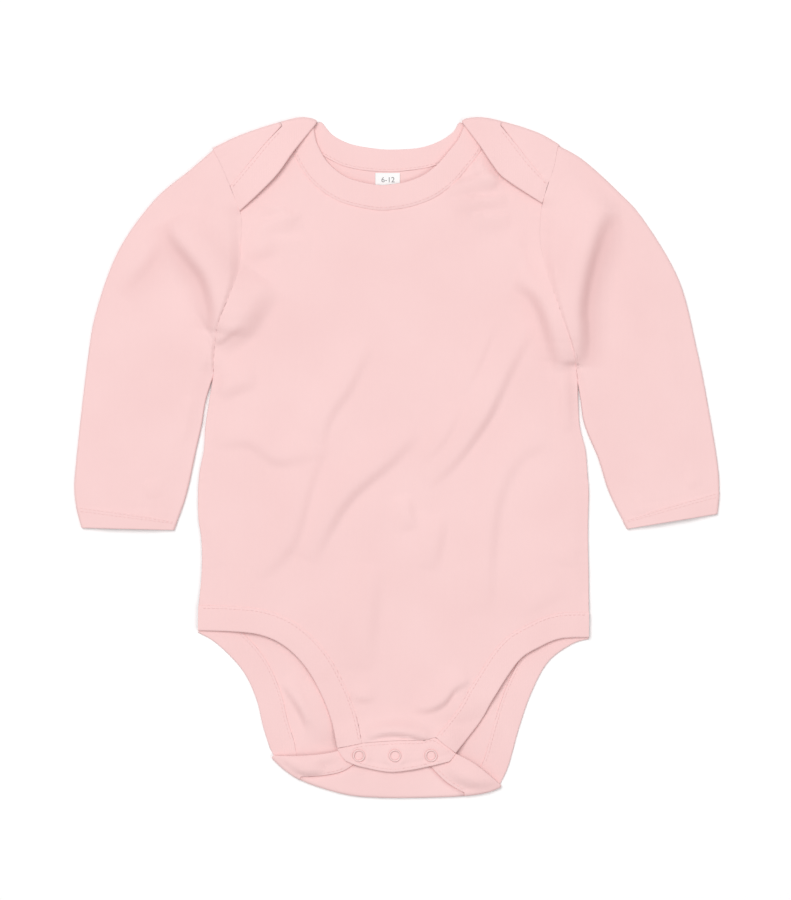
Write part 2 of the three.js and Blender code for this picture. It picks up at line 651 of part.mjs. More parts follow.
function label() {
  const mid = CLOTH + GAP + LABEL.thickness / 2;
  const at = (u, v) => new THREE.Vector2(lerp(LABEL.left, LABEL.right, u), lerp(LABEL.bottom, LABEL.top, v));
  return wall(rowOf(2, (v) => rowOf(2, (u) => lift(at(u, v), mid))), LABEL.thickness);
}

add('back_panel', backPanel(), PINK);
add('front_panel', frontPanel(), PINK);
add('neck_band_back', backNeckBand(), PINK);
add('neck_band_front', frontNeckBand(), PINK);
for (const side of SIDES) {
  add(`sleeve_${side}`, sleeve(side), PINK);
  add(`leg_band_front_${side}`, frontLegBand(side), PINK);
  add(`leg_band_back_${side}`, backLegBand(side), PINK);
}
add('snap_placket', placket(), PINK);
add('size_label', label(), WHITE);
for (const [place, x] of Object.entries(SNAP_X)) {
  const top = placketMid({ x, y: SNAP_ROW_Y }) + PLACKET / 2;
  add(`snap_ring_${place}`, snapRing().translate(x, SNAP_ROW_Y, top + GAP), METAL, 0.4, 0.8);
  const body = new THREE.CylinderGeometry(SNAP_BODY_RADIUS, SNAP_BODY_RADIUS, SNAP_BODY_HEIGHT, SNAP_STEPS);
  body.rotateX(Math.PI / 2).translate(x, SNAP_ROW_Y, PLACKET_LOW - GAP - SNAP_BODY_HEIGHT / 2);
  add(`snap_body_${place}`, body, METAL, 0.4, 0.8);
}

// Origin at the bottom centre of the whole
const box = new THREE.Box3().setFromObject(garment);
const middle = box.getCenter(new THREE.Vector3());
garment.children.forEach((mesh) => mesh.geometry.translate(-middle.x, -middle.y, -box.min.z));

export default garment;
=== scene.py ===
import math

import bmesh
import bpy
import numpy as np
from mathutils import Matrix, Vector


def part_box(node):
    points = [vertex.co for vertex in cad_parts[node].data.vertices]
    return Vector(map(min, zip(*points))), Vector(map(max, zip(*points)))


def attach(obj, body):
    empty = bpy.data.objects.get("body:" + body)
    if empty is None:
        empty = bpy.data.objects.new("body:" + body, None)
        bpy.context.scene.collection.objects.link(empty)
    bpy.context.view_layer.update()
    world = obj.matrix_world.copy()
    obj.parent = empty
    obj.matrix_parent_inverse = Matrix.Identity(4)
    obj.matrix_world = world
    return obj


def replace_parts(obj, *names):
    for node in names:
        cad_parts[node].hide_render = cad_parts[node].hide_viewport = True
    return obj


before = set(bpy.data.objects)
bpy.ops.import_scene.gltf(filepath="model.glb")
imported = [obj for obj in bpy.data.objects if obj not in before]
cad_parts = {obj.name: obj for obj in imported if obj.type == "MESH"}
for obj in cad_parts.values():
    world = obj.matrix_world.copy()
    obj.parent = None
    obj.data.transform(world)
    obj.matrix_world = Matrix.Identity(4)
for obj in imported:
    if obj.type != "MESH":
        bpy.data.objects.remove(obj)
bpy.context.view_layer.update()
scene = bpy.context.scene
random = np.random.default_rng(23)
mm = 0.001

# Plans and heights are in millimetres, with the origin that the outlines were measured from.
# The label's low corner says where the CAD's own centring put that origin.
label = {
    "left": -14.0, "right": 1.6, "top": 179.6, "bottom": 167.5, "thick": 0.5,
    "text": "6-12", "textHeight": 3.5, "textX": -6.0, "textY": 173.6,
}
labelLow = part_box("size_label")[0]
origin = np.array([labelLow.x / mm - label["left"], labelLow.y / mm - label["bottom"], 0.0])

# Camera straight over the garment, with the floor at 0.63 mm a pixel
view = {"x": -1.26, "y": 5.04, "height": 3150.0, "lens": 200.0, "sensor": 36.0}
cameraData = bpy.data.cameras.new("camera")
cameraData.lens = view["lens"]
cameraData.sensor_width = view["sensor"]
cameraData.clip_end = 20
camera = bpy.data.objects.new("camera", cameraData)
camera.location = [(view["x"] + origin[0]) * mm, (view["y"] + origin[1]) * mm, view["height"] * mm]
scene.collection.objects.link(camera)
scene.camera = camera
print("camera set")

# Walls and heights
cloth = {
    "wall": 1.2, "band": 1.8, "bandWidth": 15.8, "gap": 0.3, "seam": 0.02, "inset": 0.03,
    "frontLift": 0.7, "air": 1.2, "sideRound": 9.0, "airRound": 38.0,
    "shoulderY": 204.0, "shoulderRound": 45.0, "hipBandY": -82.0, "underarmY": 52.0,
    "softHeight": 0.16, "softLong": [28.0, 75.0], "softWaves": 12,
    "seamDip": 0.5, "seamReach": 1.5, "pucker": 0.13, "puckerPitch": 6.5, "puckerReach": 5.0,
}
backMid = cloth["wall"] / 2
backBandMid = cloth["band"] / 2
shoulders = {
    "lapMid": 4.8, "bandMid": 5.1, "seamPlace": {"left": 0.655, "right": 0.595}, "peakPlace": 0.985,
    "armholePlace": {"left": 0.012, "right": 0.004}, "gapPlace": 0.008,
    "edgeCurl": 2.4, "endDrop": 0.6, "frontTipY": 188.0, "fade": 6,
}
crotch = {
    "flapMid": 3.0, "bandMid": 3.3, "flapPlace": {"left": 0.155, "right": 0.835},
    "low": 5.6, "highest": 8.0, "slope": 15.0, "flatX": -0.6, "flatHalf": 30.0, "flatTop": -178.0, "flatLow": -198.0,
    "placket": 1.4, "snapRowY": -187.1, "snapX": {"left": -24.3, "middle": -1.6, "right": 21.1},
}

# Body sections: side edges below the underarm, armhole seams above it (y, left, right)
bodySections = np.array([
    [-112, -127.0, 121.9], [-104, -128.0, 121.2], [-90, -125.8, 120.6], [-70, -123.8, 120.4],
    [-52, -123.8, 120.0], [-38, -125.6, 120.0], [-20, -125.7, 120.4], [-8, -124.6, 119.5],
    [5, -122.0, 118.4], [20, -121.0, 114.8], [36, -118.6, 113.7], [52, -116.2, 113.2],
    [70, -115.0, 110.0], [86, -112.0, 104.4], [100, -106.5, 99.7], [118, -100.4, 93.8],
    [136, -98.6, 89.9], [153, -98.4, 90.2], [162, -101.8, 91.6], [171, -105.4, 94.4],
    [184, -110.8, 98.6], [196, -117.2, 100.8],
])
shoulderFold = {
    "left": [[-117.2, 194.6], [-104.3, 201], [-94.8, 204.8], [-84.1, 208.5], [-72, 212], [-62, 214.3],
             [-54.5, 213.9], [-49.3, 211.8]],
    "right": [[101.6, 197], [95.4, 201.2], [88.5, 204.8], [77.2, 208.8], [64.5, 212.3], [54, 214.3],
              [44.5, 213.9], [39.3, 211.8]],
}
lapEdgeLine = {
    "left": [[-65.2, 192.8], [-75.3, 178.6], [-86.6, 166.9], [-99.2, 155.3]],
    "right": [[52, 195.9], [59.5, 184.6], [67.7, 175.3], [90.9, 160.2]],
}
lapSeamLine = {
    "left": [[-83.5, 197.2], [-95.6, 182.6], [-105.2, 170.9]],
    "right": [[74.7, 196.9], [84, 185], [94.7, 172.8]],
}
frontNeckLine = [
    [-68.5, 206.5], [-65.2, 192], [-55.1, 175.1], [-38.1, 162.3], [-15, 156.3], [0, 156.8],
    [12, 159.4], [24, 164.4], [35, 172.5], [44.1, 182.7], [52, 193], [56.6, 203.4],
]
backNeckEdgeLine = [
    [-48.1, 211.6], [-44.8, 207.8], [-39.8, 202.7], [-29.1, 197.6], [-13.5, 194.8], [-1.6, 194.2], [14.2, 195.4],
    [26.4, 199.5], [35.1, 205.4], [38.7, 211.2],
]
backNeckSeamLine = [
    [-58, 197.5], [-40, 186.6], [-29.3, 182.7], [-18, 180.9], [-6, 180.3], [4.7, 180.9], [20.5, 183.3],
    [35, 189], [48, 197.8],
]
sleeveOuter = {
    "left": [[-117.2, 194.6], [-132, 181.4], [-154, 162.5], [-176.1, 131], [-189.9, 93.2], [-195.6, 61],
             [-202.5, -1.3], [-203.4, -24], [-198.8, -44.1]],
    "right": [[101.6, 197], [117.5, 187.7], [138.3, 168.8], [155.3, 149.9], [177.3, 112.1], [188.7, 68],
              [195, 36.5], [201.3, -1.3], [202.6, -20], [201.3, -35.3]],
}
sleeveInner = {
    "left": [[-116.8, 52.4], [-121.4, 36], [-123.8, 20], [-127, 5], [-133.2, -24], [-140.8, -45.4]],
    "right": [[113.8, 52.4], [116, 36], [118.4, 20], [126.9, -1.3], [133.4, -22], [144.6, -44.7]],
}
frontLegLine = {
    "left": [[-127.2, -108.6], [-104, -109.3], [-86, -111.5], [-71, -118.5], [-58, -131.5], [-48.8, -147.4],
             [-42, -164.5], [-38, -182.5]],
    "right": [[121.9, -113], [103, -113.6], [89.1, -119.1], [76, -128], [60.8, -150.6], [52, -166], [36.6, -185.6]],
}
backLegLine = {
    "left": [[-126.6, -109.4], [-113.7, -117], [-98, -133.2], [-89.1, -151.2], [-84.4, -170], [-78.4, -188.6]],
    "right": [[121.6, -113.8], [109.9, -117.2], [94.8, -128.5], [84.2, -148], [76.5, -170.1], [70.2, -192.8],
              [65, -205]],
}
crotchFoldLine = [
    [-80.6, -187.6], [-70.9, -196.6], [-58.3, -204.1], [-33.7, -211.7], [-13, -213.8], [13, -213.9],
    [41, -212.9], [57, -210.4], [67, -206.4],
]
flapEdgeLine = {
    "left": [[-60, -187.2], [-41.9, -185.2], [-28, -180.6]],
    "right": [[50.4, -193.4], [40, -187.4], [25, -180.6]],
}
flapSeamLine = {
    "left": [[-45, -199.4], [-32.4, -195.9], [-17, -184]],
    "right": [[31.2, -204.1], [21.1, -194], [15, -184]],
}
placketTopLine = [[-37.8, -182.8], [-22, -179.3], [-1.6, -177.8], [14, -177.4], [23.9, -176.1], [36.5, -185.9]]
placketBottomLine = [
    [-33, -190.2], [-23.6, -194], [-6, -197.5], [8, -196.4], [21.1, -193.7], [32.6, -190.9],
]

# A crease follows its line. The cloth drops steeply across it, over twice half, from a ridge on the side
# that high names (1 is to the line's left), and falls away gently over wide behind it. Where it has a foot,
# part of the drop runs on gently over that width. Its shade says how much painted shade darkens the trough's colour.
def crease(high, half, wide, height, *line, **more):
    return dict(line=list(line), high=high, half=half, wide=wide, height=height, **more)


# Creases of the upper layer
creases = [
    crease(-1, 3.5, 13, 2.3, (-16, 71), (-30, 43), (-41, 27), (-46, 11), (-44, 0)),
    crease(-1, 3.5, 12, 2.6, (-45, 6), (-53, -14), (-59, -36), (-65, -54), (-75, -67), (-87, -77)),
    crease(-1, 3.9, 14, 3.4, (15, 16), (-5, -4), (-30, -26), (-46, -52), (-52, -66)),
    crease(-1, 3.4, 13, 3.1, (87, 84), (71, 54), (60, 30), (49, 13), (36, -4), (20, -19)),
    crease(-1, 2.6, 8, 1.2, (63, 86), (52, 59), (43, 40)),
    crease(-1, 2.6, 8, 1.4, (41, 33), (30, 11), (17, -3)),
    crease(-1, 4.2, 12, 2.2, (98, 8), (82, 3), (71, -11), (64, -30), (60, -62), (59, -98)),
    crease(1, 3.8, 12, 2.0, (-115, 7), (-93, 8), (-77, -3), (-61, -1), (-49, 4)),
    crease(-1, 2.6, 8, 1.9, (7, -23), (9, -33), (12, -44)),
    crease(-1, 4.0, 12, 1.9, (30, -36), (27, -55), (24, -71)),
    crease(-1, 1.9, 9, 3.0, (46, -142), (36, -146), (30, -154), (20, -159), (9, -159)),
    crease(-1, 5.0, 14, 2.2, (-11, -68), (-14, -96), (-17, -134)),
    crease(1, 1.8, 7, 1.6, (-30, -152), (-14, -153)),
    crease(1, 1.8, 8, 2.0, (-116, 69), (-107, 76), (-97, 83)),
    crease(-1, 8.0, 16, 7.0, (-77, 108), (-86, 94), (-96, 80), (-112, 69), shade=0.1),
    crease(1, 4.6, 12, 2.4, (-111, 37), (-100, 43), (-88, 46)),
    crease(1, 5.0, 12, 2.0, (-98, 125), (-87, 127), (-75, 133)),
    crease(-1, 3.4, 10, 1.2, (77, 145), (80, 131), (85, 112)),
    crease(1, 4.6, 10, 6.0, (72, 110), (80, 106), (87, 99), (93, 86), (97, 71), (101, 57), shade=0.22),
    crease(1, 3.4, 9, 1.8, (98, 62), (101, 42), (104, 16)),
    crease(1, 2.6, 8, 1.6, (98, 55), (107, 57), (115, 62)),
    crease(-1, 2.0, 7, 3.0, (29, 171), (46, 176), (65, 181)),
    crease(-1, 2.0, 7, 2.4, (33, 163), (52, 164), (68, 166)),
    crease(-1, 2.4, 8, 1.9, (46, 154), (58, 154), (71, 154)),
    crease(-1, 2.6, 9, 1.7, (-93, 146), (-77, 151), (-61, 155)),
    crease(-1, 2.4, 9, 1.0, (-85, 139), (-69, 139), (-54, 139)),
    crease(-1, 3.2, 10, 0.7, (-113, -38), (-112, -57), (-110, -68)),
    crease(1, 3.0, 10, 0.7, (96, -62), (104, -66), (113, -68)),
    crease(1, 3.4, 10, 0.7, (78, -100), (92, -92), (106, -86)),
    crease(-1, 3.4, 9, 0.7, (-52, -142), (-62, -122), (-78, -108)),
    crease(1, 4.6, 15, 11.0, (-146, 149), (-140, 137), (-131, 126), (-121, 112), (-116, 92), (-117, 80),
           foot=14, shade=0.5),
    crease(-1, 6.0, 16, 3.4, (-146, 146), (-156, 126), (-168, 112), (-176, 104), shade=0.25),
    crease(1, 2.4, 9, 1.0, (-135, 38), (-134, 24), (-136, 11)),
    crease(1, 3.6, 9, 1.2, (-121, 81), (-124, 68), (-126, 55)),
    crease(1, 2.4, 7, 0.7, (-160, -14), (-158, -26)),
    crease(-1, 2.6, 8, 0.8, (-132, 178), (-122, 170), (-116, 158)),
    crease(-1, 4.8, 15, 12.0, (141, 152), (131, 149), (125, 136), (119, 116), (115.5, 94), (117, 75),
           (115, 58), foot=14, shade=0.62),
    crease(1, 3.8, 15, 3.4, (124, 149), (136, 154), (150, 145), (160, 134)),
    crease(1, 2.6, 9, 0.8, (104, 137), (112, 153), (124, 162)),
    crease(1, 2.6, 8, 0.8, (106, 176), (112, 168), (114, 158)),
    crease(1, 2.4, 8, 0.9, (141, -32), (152, -36), (160, -30)),
    crease(1, 2.2, 7, 0.7, (181, -18), (192, -17)),
    crease(-1, 1.7, 6, 2.4, (46, 184), (52, 188.5), (58, 192)),
    crease(-1, 2.0, 6, 3.4, (50.5, 191), (57, 182), (65, 174.5)),
    crease(-1, 2.2, 6, 1.5, (-86, 160), (-74, 159), (-62, 151)),
]
crotchCreases = [
    crease(1, 1.8, 6, 4.6, (-19, -177), (-6, -173.6), (8, -174.6), (20, -177.6)),
    crease(1, 2.6, 6, 0.4, (30, -180), (36, -186), (44, -193)),
]
# Creases of the back's inside, seen in the left leg opening
backCreases = [
    crease(1, 2.2, 8, 3.3, (-74, -142), (-66, -152), (-58, -166), (-53, -181)),
    crease(1, 2.2, 8, 2.6, (-60, -141), (-52, -153), (-48, -166), (-47, -178)),
    crease(-1, 2.6, 8, 0.7, (58, -150), (64, -168), (60, -186)),
]

# Soft creases of the underside, seen only from below. They rise no higher than the cloth above lets them.
undersideCreases = [
    crease(1, 5.0, 14, 2.6, (-70, 120), (-48, 96), (-30, 66), (-20, 38)),
    crease(-1, 4.5, 10, 1.8, (72, 138), (56, 112), (38, 96), (10, 86)),
    crease(-1, 5.0, 14, 2.0, (-92, 30), (-66, 22), (-40, 28), (-16, 20)),
    crease(1, 5.0, 15, 2.8, (88, 60), (66, 34), (50, 2), (46, -26)),
    crease(-1, 5.5, 16, 2.4, (-60, -20), (-30, -40), (4, -44), (34, -60)),
    crease(1, 4.0, 10, 1.6, (92, -24), (78, -50), (56, -72), (36, -82)),
    crease(1, 4.5, 12, 1.9, (-88, -70), (-62, -86), (-30, -88)),
    crease(-1, 4.0, 12, 1.7, (-20, -112), (4, -124), (34, -120)),
    crease(1, 4.0, 12, 1.3, (-40, 136), (-10, 130), (24, 136)),
    crease(1, 4.5, 9, 2.2, (-118, 60), (-132, 74), (-148, 82), (-170, 80)),
    crease(-1, 5.0, 11, 2.0, (-108, 158), (-120, 138), (-136, 124), (-156, 118)),
    crease(1, 4.0, 8, 1.3, (-146, 48), (-156, 26), (-160, 2), (-168, -18)),
    crease(-1, 4.5, 10, 2.2, (112, 52), (126, 70), (144, 84), (160, 88)),
    crease(1, 4.5, 9, 1.7, (104, 146), (118, 132), (138, 126), (152, 130)),
    crease(-1, 4.0, 9, 1.5, (150, 40), (154, 20), (164, -2), (168, -24)),
]

# Creases of the leg bands where they are folded over with the flap
flapCreases = [
    crease(1, 1.8, 5, 1.5, (-77, -190), (-60, -193), (-44, -191), (-36, -188)),
    crease(1, 2.2, 5, 3.2, (-70, -194), (-58, -198), (-46, -197)),
    crease(1, 3.6, 9, 4.0, (29, -195), (40, -203), (52, -206), (63, -206)),
    crease(1, 1.8, 5, 0.5, (34, -190), (44, -195), (56, -201)),
]


def smooth(value):
    value = np.clip(value, 0, 1)
    return value * value * (3 - 2 * value)


def lerp(a, b, t):
    return a + (b - a) * t


# Smooth line through points, as a function of the share of its length
def smoothLine(points):
    points = np.array(points, float)
    ends = np.vstack([points[:1], points, points[-1:]])
    t = np.linspace(0, 1, 25)[:, None]
    fine = [points[:1]]
    for a, b, c, d in zip(ends, ends[1:], ends[2:], ends[3:]):
        start, stop = (c - a) / 2, (d - b) / 2
        piece = (2 * b - 2 * c + start + stop) * t**3 + (3 * c - 3 * b - 2 * start - stop) * t**2 + start * t + b
        fine.append(piece[1:])
    fine = np.vstack(fine)
    run = np.append(0, np.cumsum(np.hypot(*np.diff(fine, axis=0).T)))
    share = run / run[-1]

    def at(place):
        place = np.clip(np.asarray(place, float), 0, 1)
        return np.stack([np.interp(place, share, fine[:, 0]), np.interp(place, share, fine[:, 1])], -1)

    return at


def lengthOf(path):
    return float(np.hypot(*np.diff(path(np.linspace(0, 1, 200)), axis=0).T).sum())


def normalOf(path, t):
    t = np.asarray(t, float)
    along = path(np.minimum(t + 0.004, 1)) - path(np.maximum(t - 0.004, 0))
    along /= np.hypot(along[..., :1], along[..., 1:])
    return np.stack([-along[..., 1], along[..., 0]], -1)


def beside(path, distance):
    return lambda t: path(t) + normalOf(path, t) * distance


def part(path, start, stop):
    return lambda t: path(lerp(start, stop, np.asarray(t, float)))


def backwards(path):
    return lambda t: path(1 - np.asarray(t, float))


def straight(a, b):
    return lambda t: lerp(a, b, np.asarray(t, float)[..., None])


# The same line with its ends moved to given points
def fitted(path, start, stop):
    first, last = start - path(0), stop - path(1)
    return lambda t: path(t) + first * ((1 - np.asarray(t, float)) ** 6)[..., None] + last * (
        np.asarray(t, float) ** 6)[..., None]


# Lines end to end, each with its share of the steps
def joined(*pieces):
    total = sum(steps for _, steps in pieces)

    def at(t):
        t = np.asarray(t, float) * total
        result = np.zeros(t.shape + (2,))
        start = 0
        for k, (path, steps) in enumerate(pieces):
            last = k == len(pieces) - 1
            here = (t >= start - 1e-6) & ((t < start + steps - 1e-6) | last)
            if here.any():
                result[here] = path(np.clip((t[here] - start) / steps, 0, 1))
            start += steps
        return result

    return at


# Plan points between four lines, in rows of v and columns of u
def patch(low, high, first, last, u, v, fade=1):
    across, up = u[None, :, None], v[:, None, None]

    def bend(path, a, b):
        return (path(v) - lerp(a, b, v[:, None]))[:, None, :]

    plan = lerp(low(u)[None], high(u)[None], up)
    plan = plan + bend(first, low(0.0), high(0.0)) * (1 - across) ** fade
    return plan + bend(last, low(1.0), high(1.0)) * across**fade


# Places from 0 to 1, closer together near the ends, where e is given in millimetres of a whole length
def edged(count, length, start=True, stop=True, steps=(0.12, 0.35, 0.7, 1.2, 2.0)):
    places = list(np.linspace(0, 1, count + 1))
    near = [e / length for e in steps if e / length < 0.8 / count]
    places += near if start else []
    places += [1 - e for e in near] if stop else []
    return np.array(sorted(places))


# Signed distance from a line (positive to its left) and the run along it
def nearest(x, y, points):
    best, side, run = np.full(x.shape, 1e9), np.ones(x.shape), np.zeros(x.shape)
    start = 0
    for (ax, ay), (bx, by) in zip(points, points[1:]):
        dx, dy = bx - ax, by - ay
        long = math.hypot(dx, dy)
        t = np.clip(((x - ax) * dx + (y - ay) * dy) / long**2, 0, 1)
        ox, oy = x - ax - t * dx, y - ay - t * dy
        distance = np.hypot(ox, oy)
        closer = distance < best
        best = np.where(closer, distance, best)
        side = np.where(closer, np.where(dx * oy - dy * ox >= 0, 1, -1), side)
        run = np.where(closer, start + t * long, run)
        start += long
    return best * side, run


# Creases that meet reach no higher than this, and this share of a drop runs on over its foot
highest = 11.0
footShare = 0.38


def creaseHeight(plan, table):
    x, y = plan[..., 0], plan[..., 1]
    height = np.zeros(x.shape)
    for fold in table:
        if "points" not in fold:
            fold["points"] = smoothLine(fold["line"])(np.linspace(0, 1, 14))
            fold["long"] = float(np.hypot(*np.diff(fold["points"], axis=0).T).sum())
        low = fold["points"].min(0) - 3 * fold["wide"]
        high = fold["points"].max(0) + 3 * fold["wide"]
        here = (x > low[0]) & (x < high[0]) & (y > low[1]) & (y < high[1])
        if not here.any():
            continue
        distance, run = nearest(x[here], y[here], fold["points"])
        distance = distance * fold["high"]
        half = fold["half"]
        rise = smooth((distance + half) / (2 * half))
        if "foot" in fold:
            gentle = smooth((distance + half + fold["foot"]) / (2 * half + fold["foot"]))
            rise = (1 - footShare) * rise + footShare * gentle
        fall = np.exp(-((np.maximum(distance - half, 0) / fold["wide"]) ** 2))
        taper = np.sin(np.pi * np.clip(run / fold["long"], 0, 1)) ** 0.7
        height[here] += fold["height"] * rise * fall * taper
    return highest * np.tanh(height / highest)


# Painted shade: deep creases get a per-vertex "fold" value that darkens and warms their colour, standing in for the
# light their sides throw on each other
def paintFoldShade(obj):
    spots = np.zeros(len(obj.data.vertices) * 3)
    obj.data.vertices.foreach_get("co", spots)
    x, y = (spots.reshape(-1, 3) / mm - origin)[:, :2].T
    paintedShade = np.zeros(len(x))
    for fold in creases:
        if "shade" not in fold:
            continue
        distance, run = nearest(x, y, fold["points"])
        distance = distance * fold["high"] + fold["half"] / 2
        spread = np.where(distance > 0, 0.9 * fold["half"], 1.9 * fold["half"])
        ends = np.sin(np.pi * np.clip(run / fold["long"], 0, 1)) ** 0.4
        paintedShade = np.maximum(paintedShade, fold["shade"] * ends * np.exp(-((distance / spread) ** 2)))
    values = obj.data.attributes.new("fold", "FLOAT", "POINT")
    values.data.foreach_set("value", paintedShade)
    return obj


# Slow unevenness of cloth that was smoothed out by hand
waves = [
    dict(turn=random.uniform(0, math.pi), long=random.uniform(*cloth["softLong"]), phase=random.uniform(0, 6.3),
         bend=random.uniform(0, 6.3))
    for _ in range(cloth["softWaves"])
]


def softHeight(plan):
    x, y = plan[..., 0], plan[..., 1]
    height = np.zeros(x.shape)
    for wave in waves:
        along = x * math.cos(wave["turn"]) + y * math.sin(wave["turn"])
        across = y * math.cos(wave["turn"]) - x * math.sin(wave["turn"])
        bend = 0.8 * np.sin(across / 41 + wave["bend"])
        height += np.sin(2 * math.pi * along / wave["long"] + wave["phase"] + bend)
    return cloth["softHeight"] * height / math.sqrt(cloth["softWaves"])


# Dip at a seam and the small uneven puckers beside it
def seamHeight(plan, path, dip=1.0):
    points = path(np.linspace(0, 1, 60))
    distance, run = nearest(plan[..., 0], plan[..., 1], points)
    distance = np.abs(distance)
    turn = 2 * math.pi * run / cloth["puckerPitch"]
    ripple = np.sin(turn + 1.7 * np.sin(turn / 5.3) + points[0, 0]) * (0.7 + 0.5 * np.sin(turn / 7.7 + 2))
    pucker = cloth["pucker"] * ripple * np.exp(-((distance / cloth["puckerReach"]) ** 2))
    return pucker - dip * cloth["seamDip"] * np.exp(-((distance / cloth["seamReach"]) ** 2))


def bodyX(side, y):
    y = np.asarray(y, float)
    heights, edge = bodySections[:, 0], bodySections[:, 1 if side == "left" else 2]
    k = np.clip(np.searchsorted(heights, y), 1, len(heights) - 1)
    before, after = np.maximum(k - 2, 0), np.minimum(k + 1, len(heights) - 1)
    span = heights[k] - heights[k - 1]
    start = (edge[k] - edge[before]) / (heights[k] - heights[before]) * span
    stop = (edge[after] - edge[k - 1]) / (heights[after] - heights[k - 1]) * span
    t = (y - heights[k - 1]) / span
    return ((2 * t**3 - 3 * t**2 + 1) * edge[k - 1] + (t**3 - 2 * t**2 + t) * start
            + (3 * t**2 - 2 * t**3) * edge[k] + (t**3 - t**2) * stop)


inward = {"left": 1, "right": -1}


def bodyLine(side, start, stop, inset):
    def at(t):
        y = lerp(start, stop, np.asarray(t, float))
        return np.stack([bodyX(side, y) + inward[side] * inset, y], -1)

    return at


def frontLow(plan):
    x, y = plan[..., 0], plan[..., 1]
    side = np.maximum(np.minimum(x - bodyX("left", y), bodyX("right", y) - x), 0)
    atSide = np.where(y < cloth["underarmY"], 1, 1 - smooth((y - cloth["underarmY"]) / 10))
    rounded = lerp(1, smooth(side / cloth["sideRound"]), atSide)
    settled = smooth((cloth["shoulderY"] - y) / cloth["shoulderRound"])
    overBand = (cloth["band"] - cloth["wall"]) * smooth((cloth["hipBandY"] - y) / cloth["sideRound"])
    loose = cloth["air"] * smooth(side / cloth["airRound"]) + creaseHeight(plan, creases) + softHeight(plan)
    base = cloth["wall"] + cloth["gap"]
    low = base + np.maximum(cloth["frontLift"] * rounded, overBand) + np.maximum(loose, -0.2) * rounded * settled
    sideways = np.maximum(np.abs(x - crotch["flatX"]) - crotch["flatHalf"], 0)
    away = np.hypot(sideways, np.maximum(np.maximum(y - crotch["flatTop"], crotch["flatLow"] - y), 0))
    low = lerp(crotch["low"], np.minimum(low, crotch["low"] + crotch["highest"]), smooth(away / crotch["slope"]))
    return low + creaseHeight(plan, crotchCreases) * np.minimum(away / 2, 1)


def lift(plan, height):
    return np.concatenate([plan, np.broadcast_to(height, plan.shape[:-1])[..., None]], -1)


# Share of the full thickness at a distance from a rounded edge
def rim(distance, thickness):
    inside = 1 - np.clip(distance / (thickness / 2), 0, 1)
    return np.maximum(np.sqrt(1 - inside**2), 0.06)


# Closed wall round a grid of mid-points. Rims named in bare, as (row, first column, last column), stay open.
def wall(points, thickness, tube=False, bare=(), flatRows=()):
    rows, count = points.shape[:2]
    across = np.roll(points, -1, 1) - np.roll(points, 1, 1) if tube else np.gradient(points, axis=1)
    normal = np.cross(across, np.gradient(points, axis=0))
    normal /= np.linalg.norm(normal, axis=-1, keepdims=True)
    for row, first, last, up in flatRows:
        normal[row, first:last + 1] = [0, 0, up]
    half = np.broadcast_to(np.asarray(thickness) / 2, (rows, count))[..., None]
    skin = np.concatenate([(points + normal * half).reshape(-1, 3), (points - normal * half).reshape(-1, 3)])
    skin[:, 2] = np.maximum(skin[:, 2], 0)
    index = np.arange(rows * count).reshape(rows, count)
    if tube:
        index = np.concatenate([index, index[:, :1]], 1)
    under = index + rows * count
    a, b, c, d = index[:-1, :-1], index[:-1, 1:], index[1:, 1:], index[1:, :-1]
    faces = [np.stack([a, b, c, d], -1).reshape(-1, 4)]
    a, b, c, d = under[:-1, :-1], under[1:, :-1], under[1:, 1:], under[:-1, 1:]
    faces.append(np.stack([a, b, c, d], -1).reshape(-1, 4))

    def ends(top, low, turned, row):
        keep = np.ones(len(top) - 1, bool)
        for bareRow, first, last in bare:
            if bareRow == row:
                keep[first:last] = False
        strip = np.stack([top[:-1], low[:-1], low[1:], top[1:]], -1)[keep]
        faces.append(strip[:, ::-1] if turned else strip)

    ends(index[0], under[0], False, 0)
    ends(index[-1], under[-1], True, -1)
    if not tube:
        ends(index[:, 0], under[:, 0], True, "first")
        ends(index[:, -1], under[:, -1], False, "last")
    return skin, np.concatenate(faces)


# A finished mesh as an object at the origin
def placed(name, data, material):
    data.polygons.foreach_set("use_smooth", [True] * len(data.polygons))
    data.materials.append(material)
    obj = bpy.data.objects.new(name, data)
    scene.collection.objects.link(obj)
    return obj


def placedMesh(name, made, material):
    data = bpy.data.meshes.new(name)
    made.to_mesh(data)
    made.free()
    return placed(name, data, material)


def clothObject(name, walls, material, weld=False):
    points, faces, start = [], [], 0
    for skin, quads in walls:
        points.append(skin)
        faces.append(quads + start)
        start += len(skin)
    points = (np.concatenate(points) + origin) * mm
    data = bpy.data.meshes.new(name)
    data.from_pydata(points.tolist(), [], np.concatenate(faces).tolist())
    if weld:
        made = bmesh.new()
        made.from_mesh(data)
        bmesh.ops.remove_doubles(made, verts=made.verts, dist=0.004 * mm)
        bmesh.ops.recalc_face_normals(made, faces=made.faces)
        made.to_mesh(data)
        made.free()
    return placed(name, data, material)


# Materials
def setValues(made, values):
    for socket, value in values.items():
        made.inputs[socket].default_value = value


def shaderNode(tree, kind, values=None, **settings):
    made = tree.nodes.new(f"ShaderNode{kind}")
    for name, value in settings.items():
        setattr(made, name, value)
    setValues(made, values or {})
    return made


def link(tree, start, stop):
    tree.links.new(start, stop)


